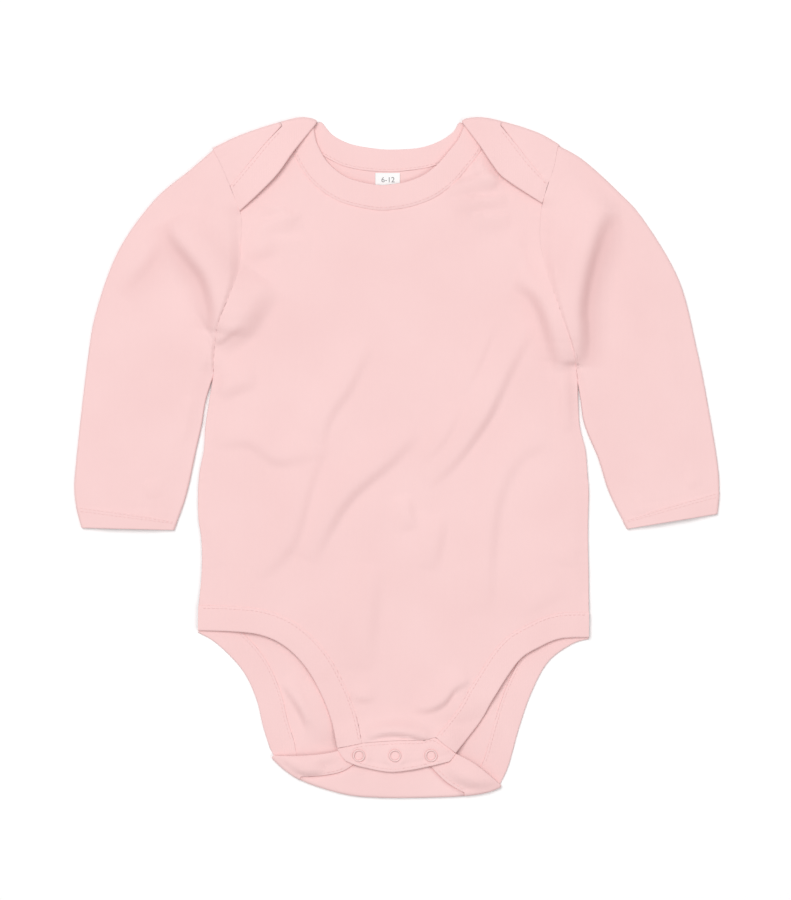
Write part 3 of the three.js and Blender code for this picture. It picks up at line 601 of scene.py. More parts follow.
# Fine jersey knit: columns of small loops, a little slub and a faint unevenness of dye
def jerseyGroup():
    tree = bpy.data.node_groups.new("jerseyKnit", "ShaderNodeTree")
    tree.interface.new_socket("Place", in_out="INPUT", socket_type="NodeSocketVector")
    tree.interface.new_socket("Loop", in_out="INPUT", socket_type="NodeSocketFloat").default_value = 0.75
    tree.interface.new_socket("Height", in_out="OUTPUT", socket_type="NodeSocketFloat")
    tree.interface.new_socket("Shade", in_out="OUTPUT", socket_type="NodeSocketFloat")
    start, stop = tree.nodes.new("NodeGroupInput"), tree.nodes.new("NodeGroupOutput")
    per = shaderNode(tree, "Math", {0: 1000}, operation="DIVIDE")
    link(tree, start.outputs["Loop"], per.inputs[1])
    scale = shaderNode(tree, "VectorMath", operation="SCALE")
    link(tree, start.outputs["Place"], scale.inputs[0])
    link(tree, per.outputs[0], scale.inputs["Scale"])
    columns = shaderNode(tree, "TexWave", {"Scale": 0.314, "Distortion": 0.6, "Detail": 1},
                         wave_type="BANDS", bands_direction="X")
    loops = shaderNode(tree, "TexWave", {"Scale": 0.42, "Distortion": 1.2}, wave_type="BANDS", bands_direction="Y")
    slub = shaderNode(tree, "TexNoise", {"Scale": 420, "Detail": 3})
    dye = shaderNode(tree, "TexNoise", {"Scale": 18, "Detail": 4})
    for pattern, place in [(columns, scale.outputs[0]), (loops, scale.outputs[0]), (slub, start.outputs["Place"]),
                           (dye, start.outputs["Place"])]:
        link(tree, place, pattern.inputs["Vector"])
    knit = shaderNode(tree, "Math", {1: 0.6}, operation="MULTIPLY_ADD")
    link(tree, loops.outputs["Fac"], knit.inputs[0])
    link(tree, columns.outputs["Fac"], knit.inputs[2])
    whole = shaderNode(tree, "Math", {1: 0.8}, operation="MULTIPLY_ADD")
    link(tree, slub.outputs["Fac"], whole.inputs[0])
    link(tree, knit.outputs[0], whole.inputs[2])
    link(tree, whole.outputs[0], stop.inputs["Height"])
    shade = shaderNode(tree, "MapRange", {"From Min": 0.3, "From Max": 0.7})
    link(tree, dye.outputs["Fac"], shade.inputs["Value"])
    link(tree, shade.outputs["Result"], stop.inputs["Shade"])
    return tree


jerseyKnit = jerseyGroup()
looks = {
    "pinkLight": (0.872, 0.606, 0.598), "pinkDark": (0.850, 0.578, 0.570),
    "bandLight": (0.872, 0.603, 0.595), "bandDark": (0.850, 0.575, 0.567),
    "thread": (0.862, 0.588, 0.578), "threadDark": (0.836, 0.560, 0.549),
    "label": (0.90, 0.90, 0.895), "labelDark": (0.86, 0.86, 0.855), "print": (0.22, 0.21, 0.22),
    # fold: painted shade tint, multiplied into the cloth colour in deep creases
    "snap": (0.80, 0.535, 0.525), "snapWorn": (0.83, 0.58, 0.57), "fold": (0.88, 0.79, 0.79),
    "floor": (0.93, 0.93, 0.93),
}


def newMaterial(name):
    material = bpy.data.materials.new(name)
    material.use_nodes = True
    return material, material.node_tree, material.node_tree.nodes["Principled BSDF"]


# Cloth: knit of a given loop size, its dye between two colours, with painted shade darkening the deep folds
def knitMaterial(name, light, dark, loop, bump, sheen):
    material, tree, surface = newMaterial(name)
    place = shaderNode(tree, "TexCoord")
    knit = shaderNode(tree, "Group", node_tree=jerseyKnit)
    setValues(knit, {"Loop": loop})
    link(tree, place.outputs["Object"], knit.inputs["Place"])
    dyed = shaderNode(tree, "Mix", {"A": (*dark, 1), "B": (*light, 1)}, data_type="RGBA")
    link(tree, knit.outputs["Shade"], dyed.inputs["Factor"])
    # Painted shade: the fold value multiplies the colour toward the fold tint in deep creases
    fold = shaderNode(tree, "Attribute", attribute_name="fold")
    paintedFoldShade = shaderNode(tree, "Mix", {"B": (*looks["fold"], 1)}, data_type="RGBA", blend_type="MULTIPLY")
    link(tree, fold.outputs["Fac"], paintedFoldShade.inputs["Factor"])
    link(tree, dyed.outputs["Result"], paintedFoldShade.inputs["A"])
    link(tree, paintedFoldShade.outputs["Result"], surface.inputs["Base Color"])
    relief = shaderNode(tree, "Bump", {"Strength": bump, "Distance": 0.08 * mm})
    link(tree, knit.outputs["Height"], relief.inputs["Height"])
    link(tree, relief.outputs["Normal"], surface.inputs["Normal"])
    setValues(surface, {"Roughness": 0.92, "Specular IOR Level": 0.25, "Sheen Weight": sheen,
                        "Sheen Roughness": 0.5, "Sheen Tint": (*light, 1)})
    return material


jersey = knitMaterial("jersey", looks["pinkLight"], looks["pinkDark"], 0.75, 0.5, 0.12)
rib = knitMaterial("rib", looks["bandLight"], looks["bandDark"], 1.1, 0.6, 0.12)
thread = knitMaterial("thread", looks["thread"], looks["threadDark"], 0.4, 0.5, 0.05)
satin = knitMaterial("labelSatin", looks["label"], looks["labelDark"], 0.35, 0.3, 0.0)
ink = knitMaterial("labelPrint", looks["print"], looks["print"], 0.35, 0.1, 0.0)


def snapMaterial():
    material, tree, surface = newMaterial("snapEnamel")
    place = shaderNode(tree, "TexCoord")
    wear = shaderNode(tree, "TexNoise", {"Scale": 700, "Detail": 3})
    link(tree, place.outputs["Object"], wear.inputs["Vector"])
    rough = shaderNode(tree, "MapRange", {"To Min": 0.42, "To Max": 0.6})
    link(tree, wear.outputs["Fac"], rough.inputs["Value"])
    link(tree, rough.outputs["Result"], surface.inputs["Roughness"])
    tint = shaderNode(tree, "Mix", {"A": (*looks["snap"], 1), "B": (*looks["snapWorn"], 1)}, data_type="RGBA")
    link(tree, wear.outputs["Fac"], tint.inputs["Factor"])
    link(tree, tint.outputs["Result"], surface.inputs["Base Color"])
    setValues(surface, {"Metallic": 0.1, "Coat Weight": 0.12, "Coat Roughness": 0.15})
    return material


enamel = snapMaterial()
print("materials made")


# Rolls at the folds
def rollLine(fold, start, stop, outside, mid, thickness):
    reach = (mid - thickness / 2) / 2 + thickness / 2

    def outward(u):
        return normalOf(fold, lerp(start, stop, np.asarray(u, float))) * outside

    def centre(u):
        return part(fold, start, stop)(u) - outward(u) * reach

    return {"centre": centre, "outward": outward}


# The same line with its start moved sideways
def startMoved(path, shift):
    return lambda t: path(t) + shift * ((1 - np.asarray(t, float)) ** 8)[..., None]


def roll(rollOf, low, high, u, steps=10):
    radius = (high - low) / 2
    rows = []
    for turn in np.linspace(-math.pi / 2, math.pi / 2, steps + 1):
        plan = rollOf["centre"](u) + rollOf["outward"](u) * radius * math.cos(turn)
        rows.append(lift(plan, low + radius * (1 + math.sin(turn))))
    return np.array(rows)


wallThick, bandThick, bandWidth, gap = cloth["wall"], cloth["band"], cloth["bandWidth"], cloth["gap"]
seamGap, seamInset = cloth["seam"], cloth["inset"]
sides = ["left", "right"]
lapRoll, lapBandRoll = {}, {}
for side in sides:
    fold = smoothLine(shoulderFold[side])
    seam = shoulders["seamPlace"][side]
    lapRoll[side] = rollLine(fold, shoulders["armholePlace"][side], seam - shoulders["gapPlace"] / 3, inward[side],
                             shoulders["lapMid"], wallThick)
    lapBandRoll[side] = rollLine(fold, shoulders["peakPlace"], seam, inward[side], shoulders["bandMid"], bandThick)
    start = lapRoll[side]["centre"](0.0)
    shift = np.array([bodyX(side, start[1]) + inward[side] * seamInset - start[0], 0.0])
    lapRoll[side]["centre"] = startMoved(lapRoll[side]["centre"], shift)
crotchFold = smoothLine(crotchFoldLine)
flapLeft, flapRight = crotch["flapPlace"]["left"], crotch["flapPlace"]["right"]
flapRoll = rollLine(crotchFold, flapLeft, flapRight, -1, crotch["flapMid"], wallThick)
flapBandRoll = {
    "left": rollLine(crotchFold, 0.01, flapLeft, -1, crotch["bandMid"], bandThick),
    "right": rollLine(crotchFold, 0.99, flapRight, -1, crotch["bandMid"], bandThick),
}


def startingAt(point, points):
    return smoothLine([list(point), *points])


backNeckEdge = smoothLine([lapBandRoll["left"]["centre"](0), *backNeckEdgeLine, lapBandRoll["right"]["centre"](0)])
backNeckSeam = smoothLine([lapBandRoll["left"]["centre"](1), *backNeckSeamLine, lapBandRoll["right"]["centre"](1)])
frontNeckSeam = smoothLine(frontNeckLine)
lapEdge, lapSeam, flapEdge, flapSeam, frontLegEdge, backLegEdge = {}, {}, {}, {}, {}, {}
for side in sides:
    lapEdge[side] = startingAt(lapBandRoll[side]["centre"](0), lapEdgeLine[side])
    lapSeam[side] = startingAt(lapBandRoll[side]["centre"](1), lapSeamLine[side])
    flapEdge[side] = startingAt(flapBandRoll[side]["centre"](0), flapEdgeLine[side])
    flapSeam[side] = startingAt(flapBandRoll[side]["centre"](1), flapSeamLine[side])
    frontLegEdge[side] = part(smoothLine(frontLegLine[side]), 0.012, 1)
    backLegEdge[side] = part(smoothLine(backLegLine[side]), 0.012, 0.94)


def frontMid(plan):
    return frontLow(plan) + wallThick / 2


def lapHeight(plan):
    return np.maximum(frontLow(plan) + bandThick + gap + wallThick / 2, shoulders["lapMid"])


# Places across a band, from its edge to its seam, and the band's thickness there
bandPlaces = np.array([0, 0.1, 0.3, 0.6, 1.0, 2.0, 4, 6, 8, 10, 12, 13.4, 14.4, 15.0, 15.4, 15.65, 15.8]) / bandWidth
bandProfile = bandThick * rim(bandPlaces * bandWidth, bandThick) * (1 + 0.12 * np.sin(np.pi * bandPlaces) ** 0.5)
bandDip = -0.4 * np.exp(-(((1 - bandPlaces) * bandWidth / 1.2) ** 2))


# Rows of a band, its height given as a function of its plan; the ripples run along it
def bandRows(edge, seam, places, height, ripple=0.1):
    plan = lerp(edge(places)[:, None], seam(places)[:, None], bandPlaces[None, :, None])
    run = places * lengthOf(edge)
    turn = run / 7.3 * 2 * math.pi
    wave = np.sin(turn + 2.1 * np.sin(turn / 4.7)) * (0.6 + 0.4 * np.sin(turn / 9.1 + 1))
    grow = bandPlaces**2 * (1 - 0.3 * bandPlaces)
    return lift(plan, height(plan) + bandDip + ripple * wave[:, None] * grow[None])


# Stitches: small rounded ellipsoids, joined into one piece
stitch = {"long": 2.1, "pitch": 2.7, "wide": 0.42, "high": 0.2, "inset": 1.6, "uneven": 0.06,
          "segments": 6, "rings": 4}


def stitchObject(name, rows):
    made = bmesh.new()
    for points in rows:
        run = np.append(0, np.cumsum(np.linalg.norm(np.diff(points, axis=0), axis=1)))
        count = int(run[-1] / stitch["pitch"])
        for k in range(count):
            middle = (k + 0.5) * run[-1] / count + random.normal(0, stitch["uneven"])
            near = [middle - 0.6, middle, middle + 0.6]
            at = np.array([np.interp(near, run, points[:, axis]) for axis in range(3)])
            along = Vector(at[:, 2] - at[:, 0]).normalized()
            across = Vector((0, 0, 1)).cross(along).normalized()
            up = along.cross(across)
            turn = Matrix((along, across, up)).transposed().to_4x4()
            size = Matrix.Diagonal([stitch["long"] / 2 * mm, stitch["wide"] / 2 * mm, stitch["high"] * mm, 1])
            spot = Matrix.Translation((Vector(at[:, 1]) + Vector(origin)) * mm)
            bmesh.ops.create_uvsphere(made, u_segments=stitch["segments"], v_segments=stitch["rings"], radius=1,
                                      matrix=spot @ turn @ size @ Matrix.Rotation(math.pi / 2, 4, "Y"))
    obj = placedMesh(name, made, thread)
    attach(obj, "root")
    return obj


# Row of points on a band's upper face, a little in from its seam
def onBand(edge, seam, height, start, stop):
    places = np.linspace(start, stop, 160)
    plan = lerp(edge(places), seam(places), 1 - stitch["inset"] / bandWidth)
    return lift(plan, height(plan) + bandThick / 2 * 1.05)


# Front panel
front = {"steps": 28, "columns": 5, "rows": 190, "wide": 240, "high": 290, "tipY": shoulders["frontTipY"]}


def frontPanel():
    leg = {side: beside(frontLegEdge[side], inward[side] * (bandWidth + seamGap)) for side in sides}
    top = beside(smoothLine(placketTopLine), 0.05)(np.array([0.3, 0.4, 0.5, 0.6, 0.7]))
    middle = smoothLine([leg["left"](1.0), *top, leg["right"](1.0)])
    low = joined([leg["left"], 12], [middle, 4], [backwards(leg["right"]), 12])
    neck = beside(frontNeckSeam, -seamGap)
    sideLine = {side: bodyLine(side, low(0.0)[1], front["tipY"], seamInset) for side in sides}
    tip = {side: sideLine[side](1.0) for side in sides}
    high = joined(
        [smoothLine([tip["left"], [-92, 199.5], neck(0.0)]), 5],
        [neck, 18],
        [smoothLine([neck(1.0), [80, 202.5], tip["right"]]), 5],
    )
    u = edged(front["steps"] * front["columns"], front["wide"])
    v = edged(front["rows"], front["high"])
    plan = patch(low, high, fitted(sideLine["left"], low(0.0), high(0.0)),
                 fitted(sideLine["right"], low(1.0), high(1.0)), u, v, shoulders["fade"])
    y = plan[..., 1]
    height = frontMid(plan)
    for path, dip in [(neck, 0.6), (leg["left"], 0.2), (leg["right"], 0.2)]:
        height += seamHeight(plan, path, dip)
    for side in sides:
        height += seamHeight(plan, bodyLine(side, 60, 186, 0), 0.3) * smooth((y - 56) / 14)
        height += seamHeight(plan, bodyLine(side, -108, 60, 0), 0) * smooth((66 - y) / 14)
    width = np.hypot(*(plan[:, -1] - plan[:, 0]).T)[:, None]
    toSide = np.minimum(u, 1 - u)[None] * width
    below = 1 - smooth((y - cloth["underarmY"]) / 8)
    thickness = wallThick * lerp(1, rim(toSide, wallThick), below)
    return wall(lift(plan, height), thickness)


frontCloth = paintFoldShade(clothObject("front_cloth", [frontPanel()], jersey))
print("front panel made")

# Front neck band
neckPlaces = edged(190, lengthOf(frontNeckSeam))


def frontBandMid(plan):
    return frontLow(plan) + bandThick / 2


frontNeckEdge = beside(frontNeckSeam, bandWidth)
frontNeckBand = clothObject(
    "neck_band_front_rib", [wall(bandRows(frontNeckEdge, frontNeckSeam, neckPlaces, frontBandMid), bandProfile)], rib)

# Leg bands of the front
legPlaces = edged(90, 130)
legBandFront = {}
for side in sides:
    seam = beside(frontLegEdge[side], inward[side] * bandWidth)
    rows = bandRows(frontLegEdge[side], seam, legPlaces, frontBandMid)
    legBandFront[side] = clothObject(f"leg_band_front_{side}_rib", [wall(rows, bandProfile)], rib)
print("front bands made")

# Back: one sheet that turns over at both shoulders and at the crotch
back = {
    "steps": 28, "columns": 4, "rows": 110, "wide": 240, "high": 300, "lapRows": 44, "flapRows": 12,
    "left": (0, 5), "right": (23, 28), "flap": (12, 16),
}


def undersideHeight(plan, over):
    room = np.maximum(over - wallThick - 0.2, 0.001)
    return room * np.tanh(creaseHeight(plan, undersideCreases) / room)


def backHeight(plan, thickness):
    return thickness / 2 + np.maximum(creaseHeight(plan, backCreases), undersideHeight(plan, frontLow(plan)))


def backPanel():
    centre = {side: lapRoll[side]["centre"] for side in sides}
    leg = {side: beside(backLegEdge[side], inward[side] * (bandWidth + seamGap)) for side in sides}
    flap = flapRoll["centre"]
    along = np.linspace(0, 1, 14)
    for side, corner in [("left", flap(0.0)), ("right", flap(1.0))]:
        seam = leg[side](along)
        leg[side] = smoothLine([*seam, (seam[-1] + corner) / 2, corner])
    neckInside = beside(backNeckSeam, -seamGap)
    neck = smoothLine([centre["left"](1.0), *neckInside(np.linspace(0.06, 0.94, 14)), centre["right"](1.0)])
    low = joined([leg["left"], 12], [flap, 4], [backwards(leg["right"]), 12])
    high = joined([centre["left"], 5], [neck, 18], [backwards(centre["right"]), 5])
    lines = {side: bodyLine(side, low(0.0)[1], high(0.0)[1], seamInset) for side in sides}
    u = edged(back["steps"] * back["columns"], back["wide"])
    v = edged(back["rows"], back["high"])
    plan = patch(low, high, fitted(lines["left"], low(0.0), high(0.0)), fitted(lines["right"], low(1.0), high(1.0)),
                 u, v, shoulders["fade"])
    columns = {}
    for fold in ["left", "right", "flap"]:
        columns[fold] = [int(np.argmin(np.abs(u - step / back["steps"]))) for step in back[fold]]
    width = np.hypot(*(plan[:, -1] - plan[:, 0]).T)[:, None]
    toSide = np.minimum(u, 1 - u)[None] * width
    below = 1 - smooth((plan[..., 1] - cloth["underarmY"]) / 8)
    flatThick = wallThick * lerp(1, rim(toSide, wallThick), below)
    height = backHeight(plan, wallThick)
    bare = [(-1, *columns["left"]), (-1, *columns["right"]), (0, *columns["flap"])]
    rows = lift(plan, height)
    level = [(-1, 0, len(u) - 1, 1), (0, 0, len(u) - 1, 1)]
    walls = [wall(rows, flatThick, bare=bare, flatRows=level)]
    for side in sides:
        first, last = columns[side]
        own = (u[first:last + 1] - u[first]) / (u[last] - u[first])
        own = own if side == "left" else 1 - own
        seam = beside(lapSeam[side], -inward[side] * seamGap)
        edgeY = seam(1.0)[1] + 1
        tip = straight(bodyLine(side, edgeY, edgeY, seamInset)(0.0), seam(1.0))
        armhole = bodyLine(side, centre[side](0.0)[1], tip(0.0)[1], seamInset)
        places = edged(back["lapRows"], 40, start=False)
        order = np.argsort(own)
        lapPlan = patch(centre[side], tip, fitted(armhole, centre[side](0.0), tip(0.0)),
                        fitted(seam, centre[side](1.0), tip(1.0)), own[order], places)[:, np.argsort(order)]
        over = lerp(shoulders["lapMid"], lapHeight(lapPlan), smooth(3 * places)[:, None])
        seams = seamHeight(lapPlan, seam, 0.05) + seamHeight(lapPlan, armhole, 0.1)
        over = over + seams * smooth(4 * places)[:, None]
        turned = roll(lapRoll[side], backMid, shoulders["lapMid"], own)
        whole = np.concatenate([turned, lift(lapPlan, over)[1:]])
        lapWidth = np.hypot(*(lapPlan[:, -1] - lapPlan[:, 0]).T)
        lapWidth = np.concatenate([np.full(len(turned), lapWidth[0]), lapWidth[1:]])[:, None]
        toSide = own[None] * lapWidth
        nearFold = 1 - smooth(np.arange(len(whole)) / 14)[:, None]
        thickness = wallThick * lerp(1, rim(toSide, wallThick), nearFold)
        thickness[0] = flatThick[-1, first:last + 1]
        walls.append(wall(whole, thickness, bare=[(0, 0, last - first)], flatRows=[(0, 0, last - first, 1)]))
    first, last = columns["flap"]
    own = (u[first:last + 1] - u[first]) / (u[last] - u[first])
    left, right = beside(flapSeam["left"], -seamGap), beside(flapSeam["right"], seamGap)
    up = np.linspace(0, 1, back["flapRows"] + 1)
    flapPlan = patch(flap, straight(left(1.0), right(1.0)), fitted(left, flap(0.0), left(1.0)),
                     fitted(right, flap(1.0), right(1.0)), own, up)
    soft = softHeight(flapPlan * 3) * up[:, None]
    turned = roll(flapRoll, backMid, crotch["flapMid"], own)
    for seam in [left, right]:
        soft = soft + seamHeight(flapPlan, seam, 1.4) * np.minimum(4 * up, 1)[:, None]
    whole = np.concatenate([turned, lift(flapPlan, crotch["flapMid"] + soft)[1:]])
    walls.append(wall(whole, wallThick, bare=[(0, 0, last - first)], flatRows=[(0, 0, last - first, -1)]))
    return walls


backCloth = clothObject("back_cloth", backPanel(), jersey, weld=True)
print("back panel made")


# Back neck band, which runs on over the shoulder folds along the laps
def lapBandMid(plan):
    return np.maximum(frontLow(plan) + bandThick + gap, shoulders["bandMid"] - bandThick / 2) + bandThick / 2


def flatBandMid(plan):
    return backBandMid


def backBandHeight(plan):
    return backHeight(plan, bandThick)


def backNeckBandRows():
    tops = {}
    for side in sides:
        turned = roll(lapBandRoll[side], backBandMid, shoulders["bandMid"], bandPlaces)
        places = edged(60, 75, start=False)
        over = bandRows(lapEdge[side], lapSeam[side], places, lapBandMid)
        curl = shoulders["edgeCurl"] * np.sin(np.pi * places**0.8)[:, None] * (1 - bandPlaces[None]) ** 2
        atEnd = shoulders["endDrop"] * (1 - smooth(12 * (1 - places)))[:, None]
        over[..., 2] = lerp(shoulders["bandMid"], over[..., 2] + curl - atEnd, smooth(3 * places)[:, None])
        tops[side] = np.concatenate([turned, over[1:]])
    across = bandRows(backNeckEdge, backNeckSeam, np.linspace(0, 1, 70), flatBandMid, 0.05)[1:-1]
    across[..., 2] = np.maximum(across[..., 2], backBandMid)
    return np.concatenate([tops["left"][::-1], across, tops["right"]])


backNeckBand = clothObject("neck_band_back_rib", [wall(backNeckBandRows(), bandProfile)], rib)


# Leg bands of the back, turned over with the crotch flap
def flapBandMid(plan):
    return crotch["bandMid"] + creaseHeight(plan, flapCreases)


legBandBack = {}
for side in sides:
    seam = beside(backLegEdge[side], inward[side] * bandWidth)
    flat = bandRows(backLegEdge[side], seam, legPlaces[:-1], backBandHeight, 0.05)
    flat[..., 2] = np.maximum(flat[..., 2], backBandMid)
    turned = roll(flapBandRoll[side], backBandMid, crotch["bandMid"], bandPlaces)
    flapPlaces = edged(26, 55, start=False)
    over = bandRows(flapEdge[side], flapSeam[side], flapPlaces, flapBandMid, 0.12)[1:]
    rows = np.concatenate([flat, turned, over])
    legBandBack[side] = clothObject(f"leg_band_back_{side}_rib", [wall(rows, bandProfile)], rib)
print("back bands made")

# Sleeves: flattened tubes with turned hems
sleeveSizes = {
    "edgeMid": 2.6, "air": 1.3, "round": 20.0, "rise": 2.0, "hem": 14.5, "hemExtra": 0.4, "rows": 120,
    "under": 44, "underRound": 12.0, "over": 84, "turn": 6, "seamBlend": 14.0,
}


def sleeve(side):
    size = sleeveSizes
    outer, inner = smoothLine(sleeveOuter[side]), smoothLine(sleeveInner[side])
    armhole = bodyLine(side, outer(0.0)[1], inner(0.0)[1], -0.02)
    long = lengthOf(outer)
    hemStart = 1 - size["hem"] / long
    near = np.array([-1.2, -0.5, 0, 0.5, 1.2]) / long
    s = np.array(sorted([*edged(size["rows"], long), *(hemStart + near)]))
    cuff = straight(outer(1.0), inner(1.0))
    firstLine, lastLine = fitted(outer, armhole(0.0), outer(1.0)), fitted(inner, armhole(1.0), inner(1.0))

    def plan(w):
        return np.stack([patch(armhole, cuff, firstLine, lastLine, np.array([value]), s)[:, 0] for value in w], 1)

    ends = plan([0.0, 1.0])
    width = np.hypot(*(ends[:, 1] - ends[:, 0]).T)
    across = (ends[:, 1] - ends[:, 0]) / width[:, None]

    def edgeMid(w):
        return size["edgeMid"] + size["rise"] * (1 - s) ** 4 * (1 - w) ** 2

    def at(w):
        grid = np.asarray(w, float)
        base = lerp(armhole(grid.ravel()), cuff(grid.ravel()), s.repeat(grid.shape[1])[:, None])
        bendFirst = firstLine(s) - lerp(firstLine(0.0), firstLine(1.0), s[:, None])
        bendLast = lastLine(s) - lerp(lastLine(0.0), lastLine(1.0), s[:, None])
        base = base.reshape(grid.shape + (2,))
        return base + bendFirst[:, None] * (1 - grid)[..., None] + bendLast[:, None] * grid[..., None]

    first = ((edgeMid(0.0) - backMid) / 2 + wallThick / 2) / width
    last = 1 - ((edgeMid(1.0) - backMid) / 2 + wallThick / 2) / width
    below = lerp(first[:, None], last[:, None], np.linspace(0, 1, size["under"])[None])
    above = lerp(last[:, None], first[:, None], edged(size["over"], 120)[None])
    underPlan = at(below)
    inside = np.minimum(below - first[:, None], last[:, None] - below) * width[:, None]
    over = size["edgeMid"] - wallThick / 2 + 0.6 * size["air"] * smooth(inside / size["round"])
    underRow = lift(underPlan, backMid + undersideHeight(underPlan, over) * smooth(inside / size["underRound"]))
    overPlan = at(above)
    away = np.minimum(above - first[:, None], last[:, None] - above) * width[:, None]
    loose = smooth(away / (size["round"] * lerp(0.3, 1, smooth(s * long / 22)))[:, None])
    edge = size["edgeMid"] + size["rise"] * ((1 - s) ** 4)[:, None] * (1 - above) ** 2
    hem = 0.35 * smooth((s - hemStart) * long / 1.2)[:, None]
    own = size["air"] + creaseHeight(overPlan, creases) + softHeight(overPlan) + hem
    lapLow = lapEdgeLine[side][-1][1]
    underLap = smooth((overPlan[..., 1] - lapLow + 3) / 7)
    body = lerp(frontMid(overPlan), lapHeight(overPlan), underLap)
    joinTo = 1 - smooth(s * long / size["seamBlend"])[:, None]
    top = edge + lerp(own, body - edge, joinTo) * loose
    seam = seamHeight(overPlan, armhole, 0.3) * loose * (1 - 0.7 * underLap)
    hemLine = straight(outer(hemStart), inner(1 - size["hem"] / lengthOf(inner)))
    dip = seamHeight(overPlan, hemLine, 0.3) * loose
    overRow = lift(overPlan, top + seam + dip)

    def turned(w, sign):
        centre = at(np.broadcast_to(w[:, None], (len(s), 1)))[:, 0]
        mid = edgeMid(sign)
        radius = (mid - backMid) / 2
        rows = []
        for turn in np.linspace(-math.pi / 2, math.pi / 2, size["turn"] + 1)[1:-1]:
            point = centre + across * ((2 * sign - 1) * radius * math.cos(turn))[:, None]
            rows.append(lift(point, backMid + radius * (1 + math.sin(turn))))
        return np.stack(rows, 1)

    ring = np.concatenate([underRow, turned(last, 1.0), overRow, turned(first, 0.0)[:, ::-1]], 1)
    thickness = wallThick + size["hemExtra"] * smooth((s - hemStart) * long / 0.8 + 0.5)
    thickness = thickness * np.minimum(rim((1 - s) * long, 1.8), 1)
    rows = []
    for inset in [1.0, 3.2]:
        k = int(np.argmin(np.abs(s - (hemStart + inset / long))))
        rows.append(overRow[k, 2:-2] + [0, 0, thickness[k] / 2])
    return wall(ring, thickness[:, None], tube=True), rows


sleeves, hemRows = {}, {}
for side in sides:
    made, hemRows[side] = sleeve(side)
    sleeves[side] = paintFoldShade(clothObject(f"sleeve_{side}_cloth", [made], jersey))
print("sleeves made")

# Snap placket, pressed down round each snap
placketSize = {"wide": 66.0, "high": 15.0, "press": 0.25, "ringRise": 0.5, "ringAt": 5.5, "ringFade": 2.2,
               "endRound": 14.0, "endExtra": 0.35}
placketTop, placketBottom = smoothLine(placketTopLine), smoothLine(placketBottomLine)


def placketHeight(plan):
    size = placketSize
    height = frontLow(plan) + crotch["placket"] / 2
    for x in crotch["snapX"].values():
        distance = np.hypot(plan[..., 0] - x, plan[..., 1] - crotch["snapRowY"])
        fall = np.exp(-((np.maximum(distance - size["ringAt"], 0) / size["ringFade"]) ** 2))
        height = height + size["ringRise"] * fall * smooth((distance - 3) / 3) - size["press"]
    return height


def placketRows():
    size = placketSize
    u, v = edged(130, size["wide"]), edged(34, 16)
    plan = lerp(placketBottom(u)[None], placketTop(u)[None], v[:, None, None])
    height = placketHeight(plan) + seamHeight(plan, beside(placketBottom, 4.6), 0.5)
    toEnd = np.minimum(u, 1 - u)[None] * size["wide"]
    reach = np.minimum(v[:, None] * size["high"], toEnd + 8 * v[:, None] ** 2)
    atEnd = 1 - smooth(toEnd / size["endRound"])
    thickness = crotch["placket"] * (1 + size["endExtra"] * atEnd) * rim(reach, crotch["placket"])
    return wall(lift(plan, height), thickness)


placket = clothObject("snap_placket_cloth", [placketRows()], rib)

# Snap rings and the snap halves under the placket
ringProfile = [
    (2.75, -0.2), (2.70, 0.45), (2.82, 0.72), (3.05, 0.90), (3.40, 0.98), (3.72, 0.90), (3.92, 0.68), (4.00, 0.40),
    (4.00, -0.2),
]
bodyProfile = [(0.0, 0.0), (4.0, 0.0), (4.2, 0.12), (4.2, 0.55), (4.05, 0.70), (2.4, 0.70), (2.1, 0.62), (0.0, 0.62)]


def spun(name, profile, x, low, closed):
    made = bmesh.new()
    corners = [made.verts.new((radius * mm, 0, z * mm)) for radius, z in profile]
    edges = [made.edges.new(pair) for pair in zip(corners, corners[1:])]
    if closed:
        edges.append(made.edges.new((corners[-1], corners[0])))
    bmesh.ops.spin(made, geom=corners + edges, cent=(0, 0, 0), axis=(0, 0, 1), angle=2 * math.pi, steps=48,
                   use_merge=True)
    bmesh.ops.remove_doubles(made, verts=made.verts, dist=0.001 * mm)
    bmesh.ops.recalc_face_normals(made, faces=made.faces)
    spot = Vector(((x + origin[0]) * mm, (crotch["snapRowY"] + origin[1]) * mm, low * mm))
    bmesh.ops.translate(made, verts=made.verts, vec=spot)
    obj = placedMesh(name, made, enamel)
    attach(obj, "root")
    return obj


studLow = 4.6
for which, x in crotch["snapX"].items():
    top = float(placketHeight(np.array([[x, crotch["snapRowY"]]]))[0]) + crotch["placket"] / 2
    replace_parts(spun(f"snap_{which}_ring", ringProfile, x, top + 0.1, True), f"snap_ring_{which}")
    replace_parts(spun(f"snap_{which}_stud", bodyProfile, x, studLow, False), f"snap_body_{which}")
print("snaps made")

# Size label with plain numerals
labelMid = wallThick + gap / 2 + label["thick"] / 2


def labelRows():
    wide, high = label["right"] - label["left"], label["top"] - label["bottom"]
    u, v = edged(30, wide), edged(24, high)
    x = lerp(label["left"], label["right"], u)[None] * np.ones((len(v), 1))
    y = lerp(label["bottom"], label["top"], v)[:, None] * np.ones((1, len(u)))
    height = labelMid + 0.12 * np.sin(np.pi * v)[:, None] * (1 + 0.5 * np.sin(5 * u)[None])
    reach = np.minimum(np.minimum(v, 1 - v)[:, None] * high, np.minimum(u, 1 - u)[None] * wide)
    return wall(lift(np.stack([x, y], -1), height), label["thick"] * rim(reach, label["thick"]))


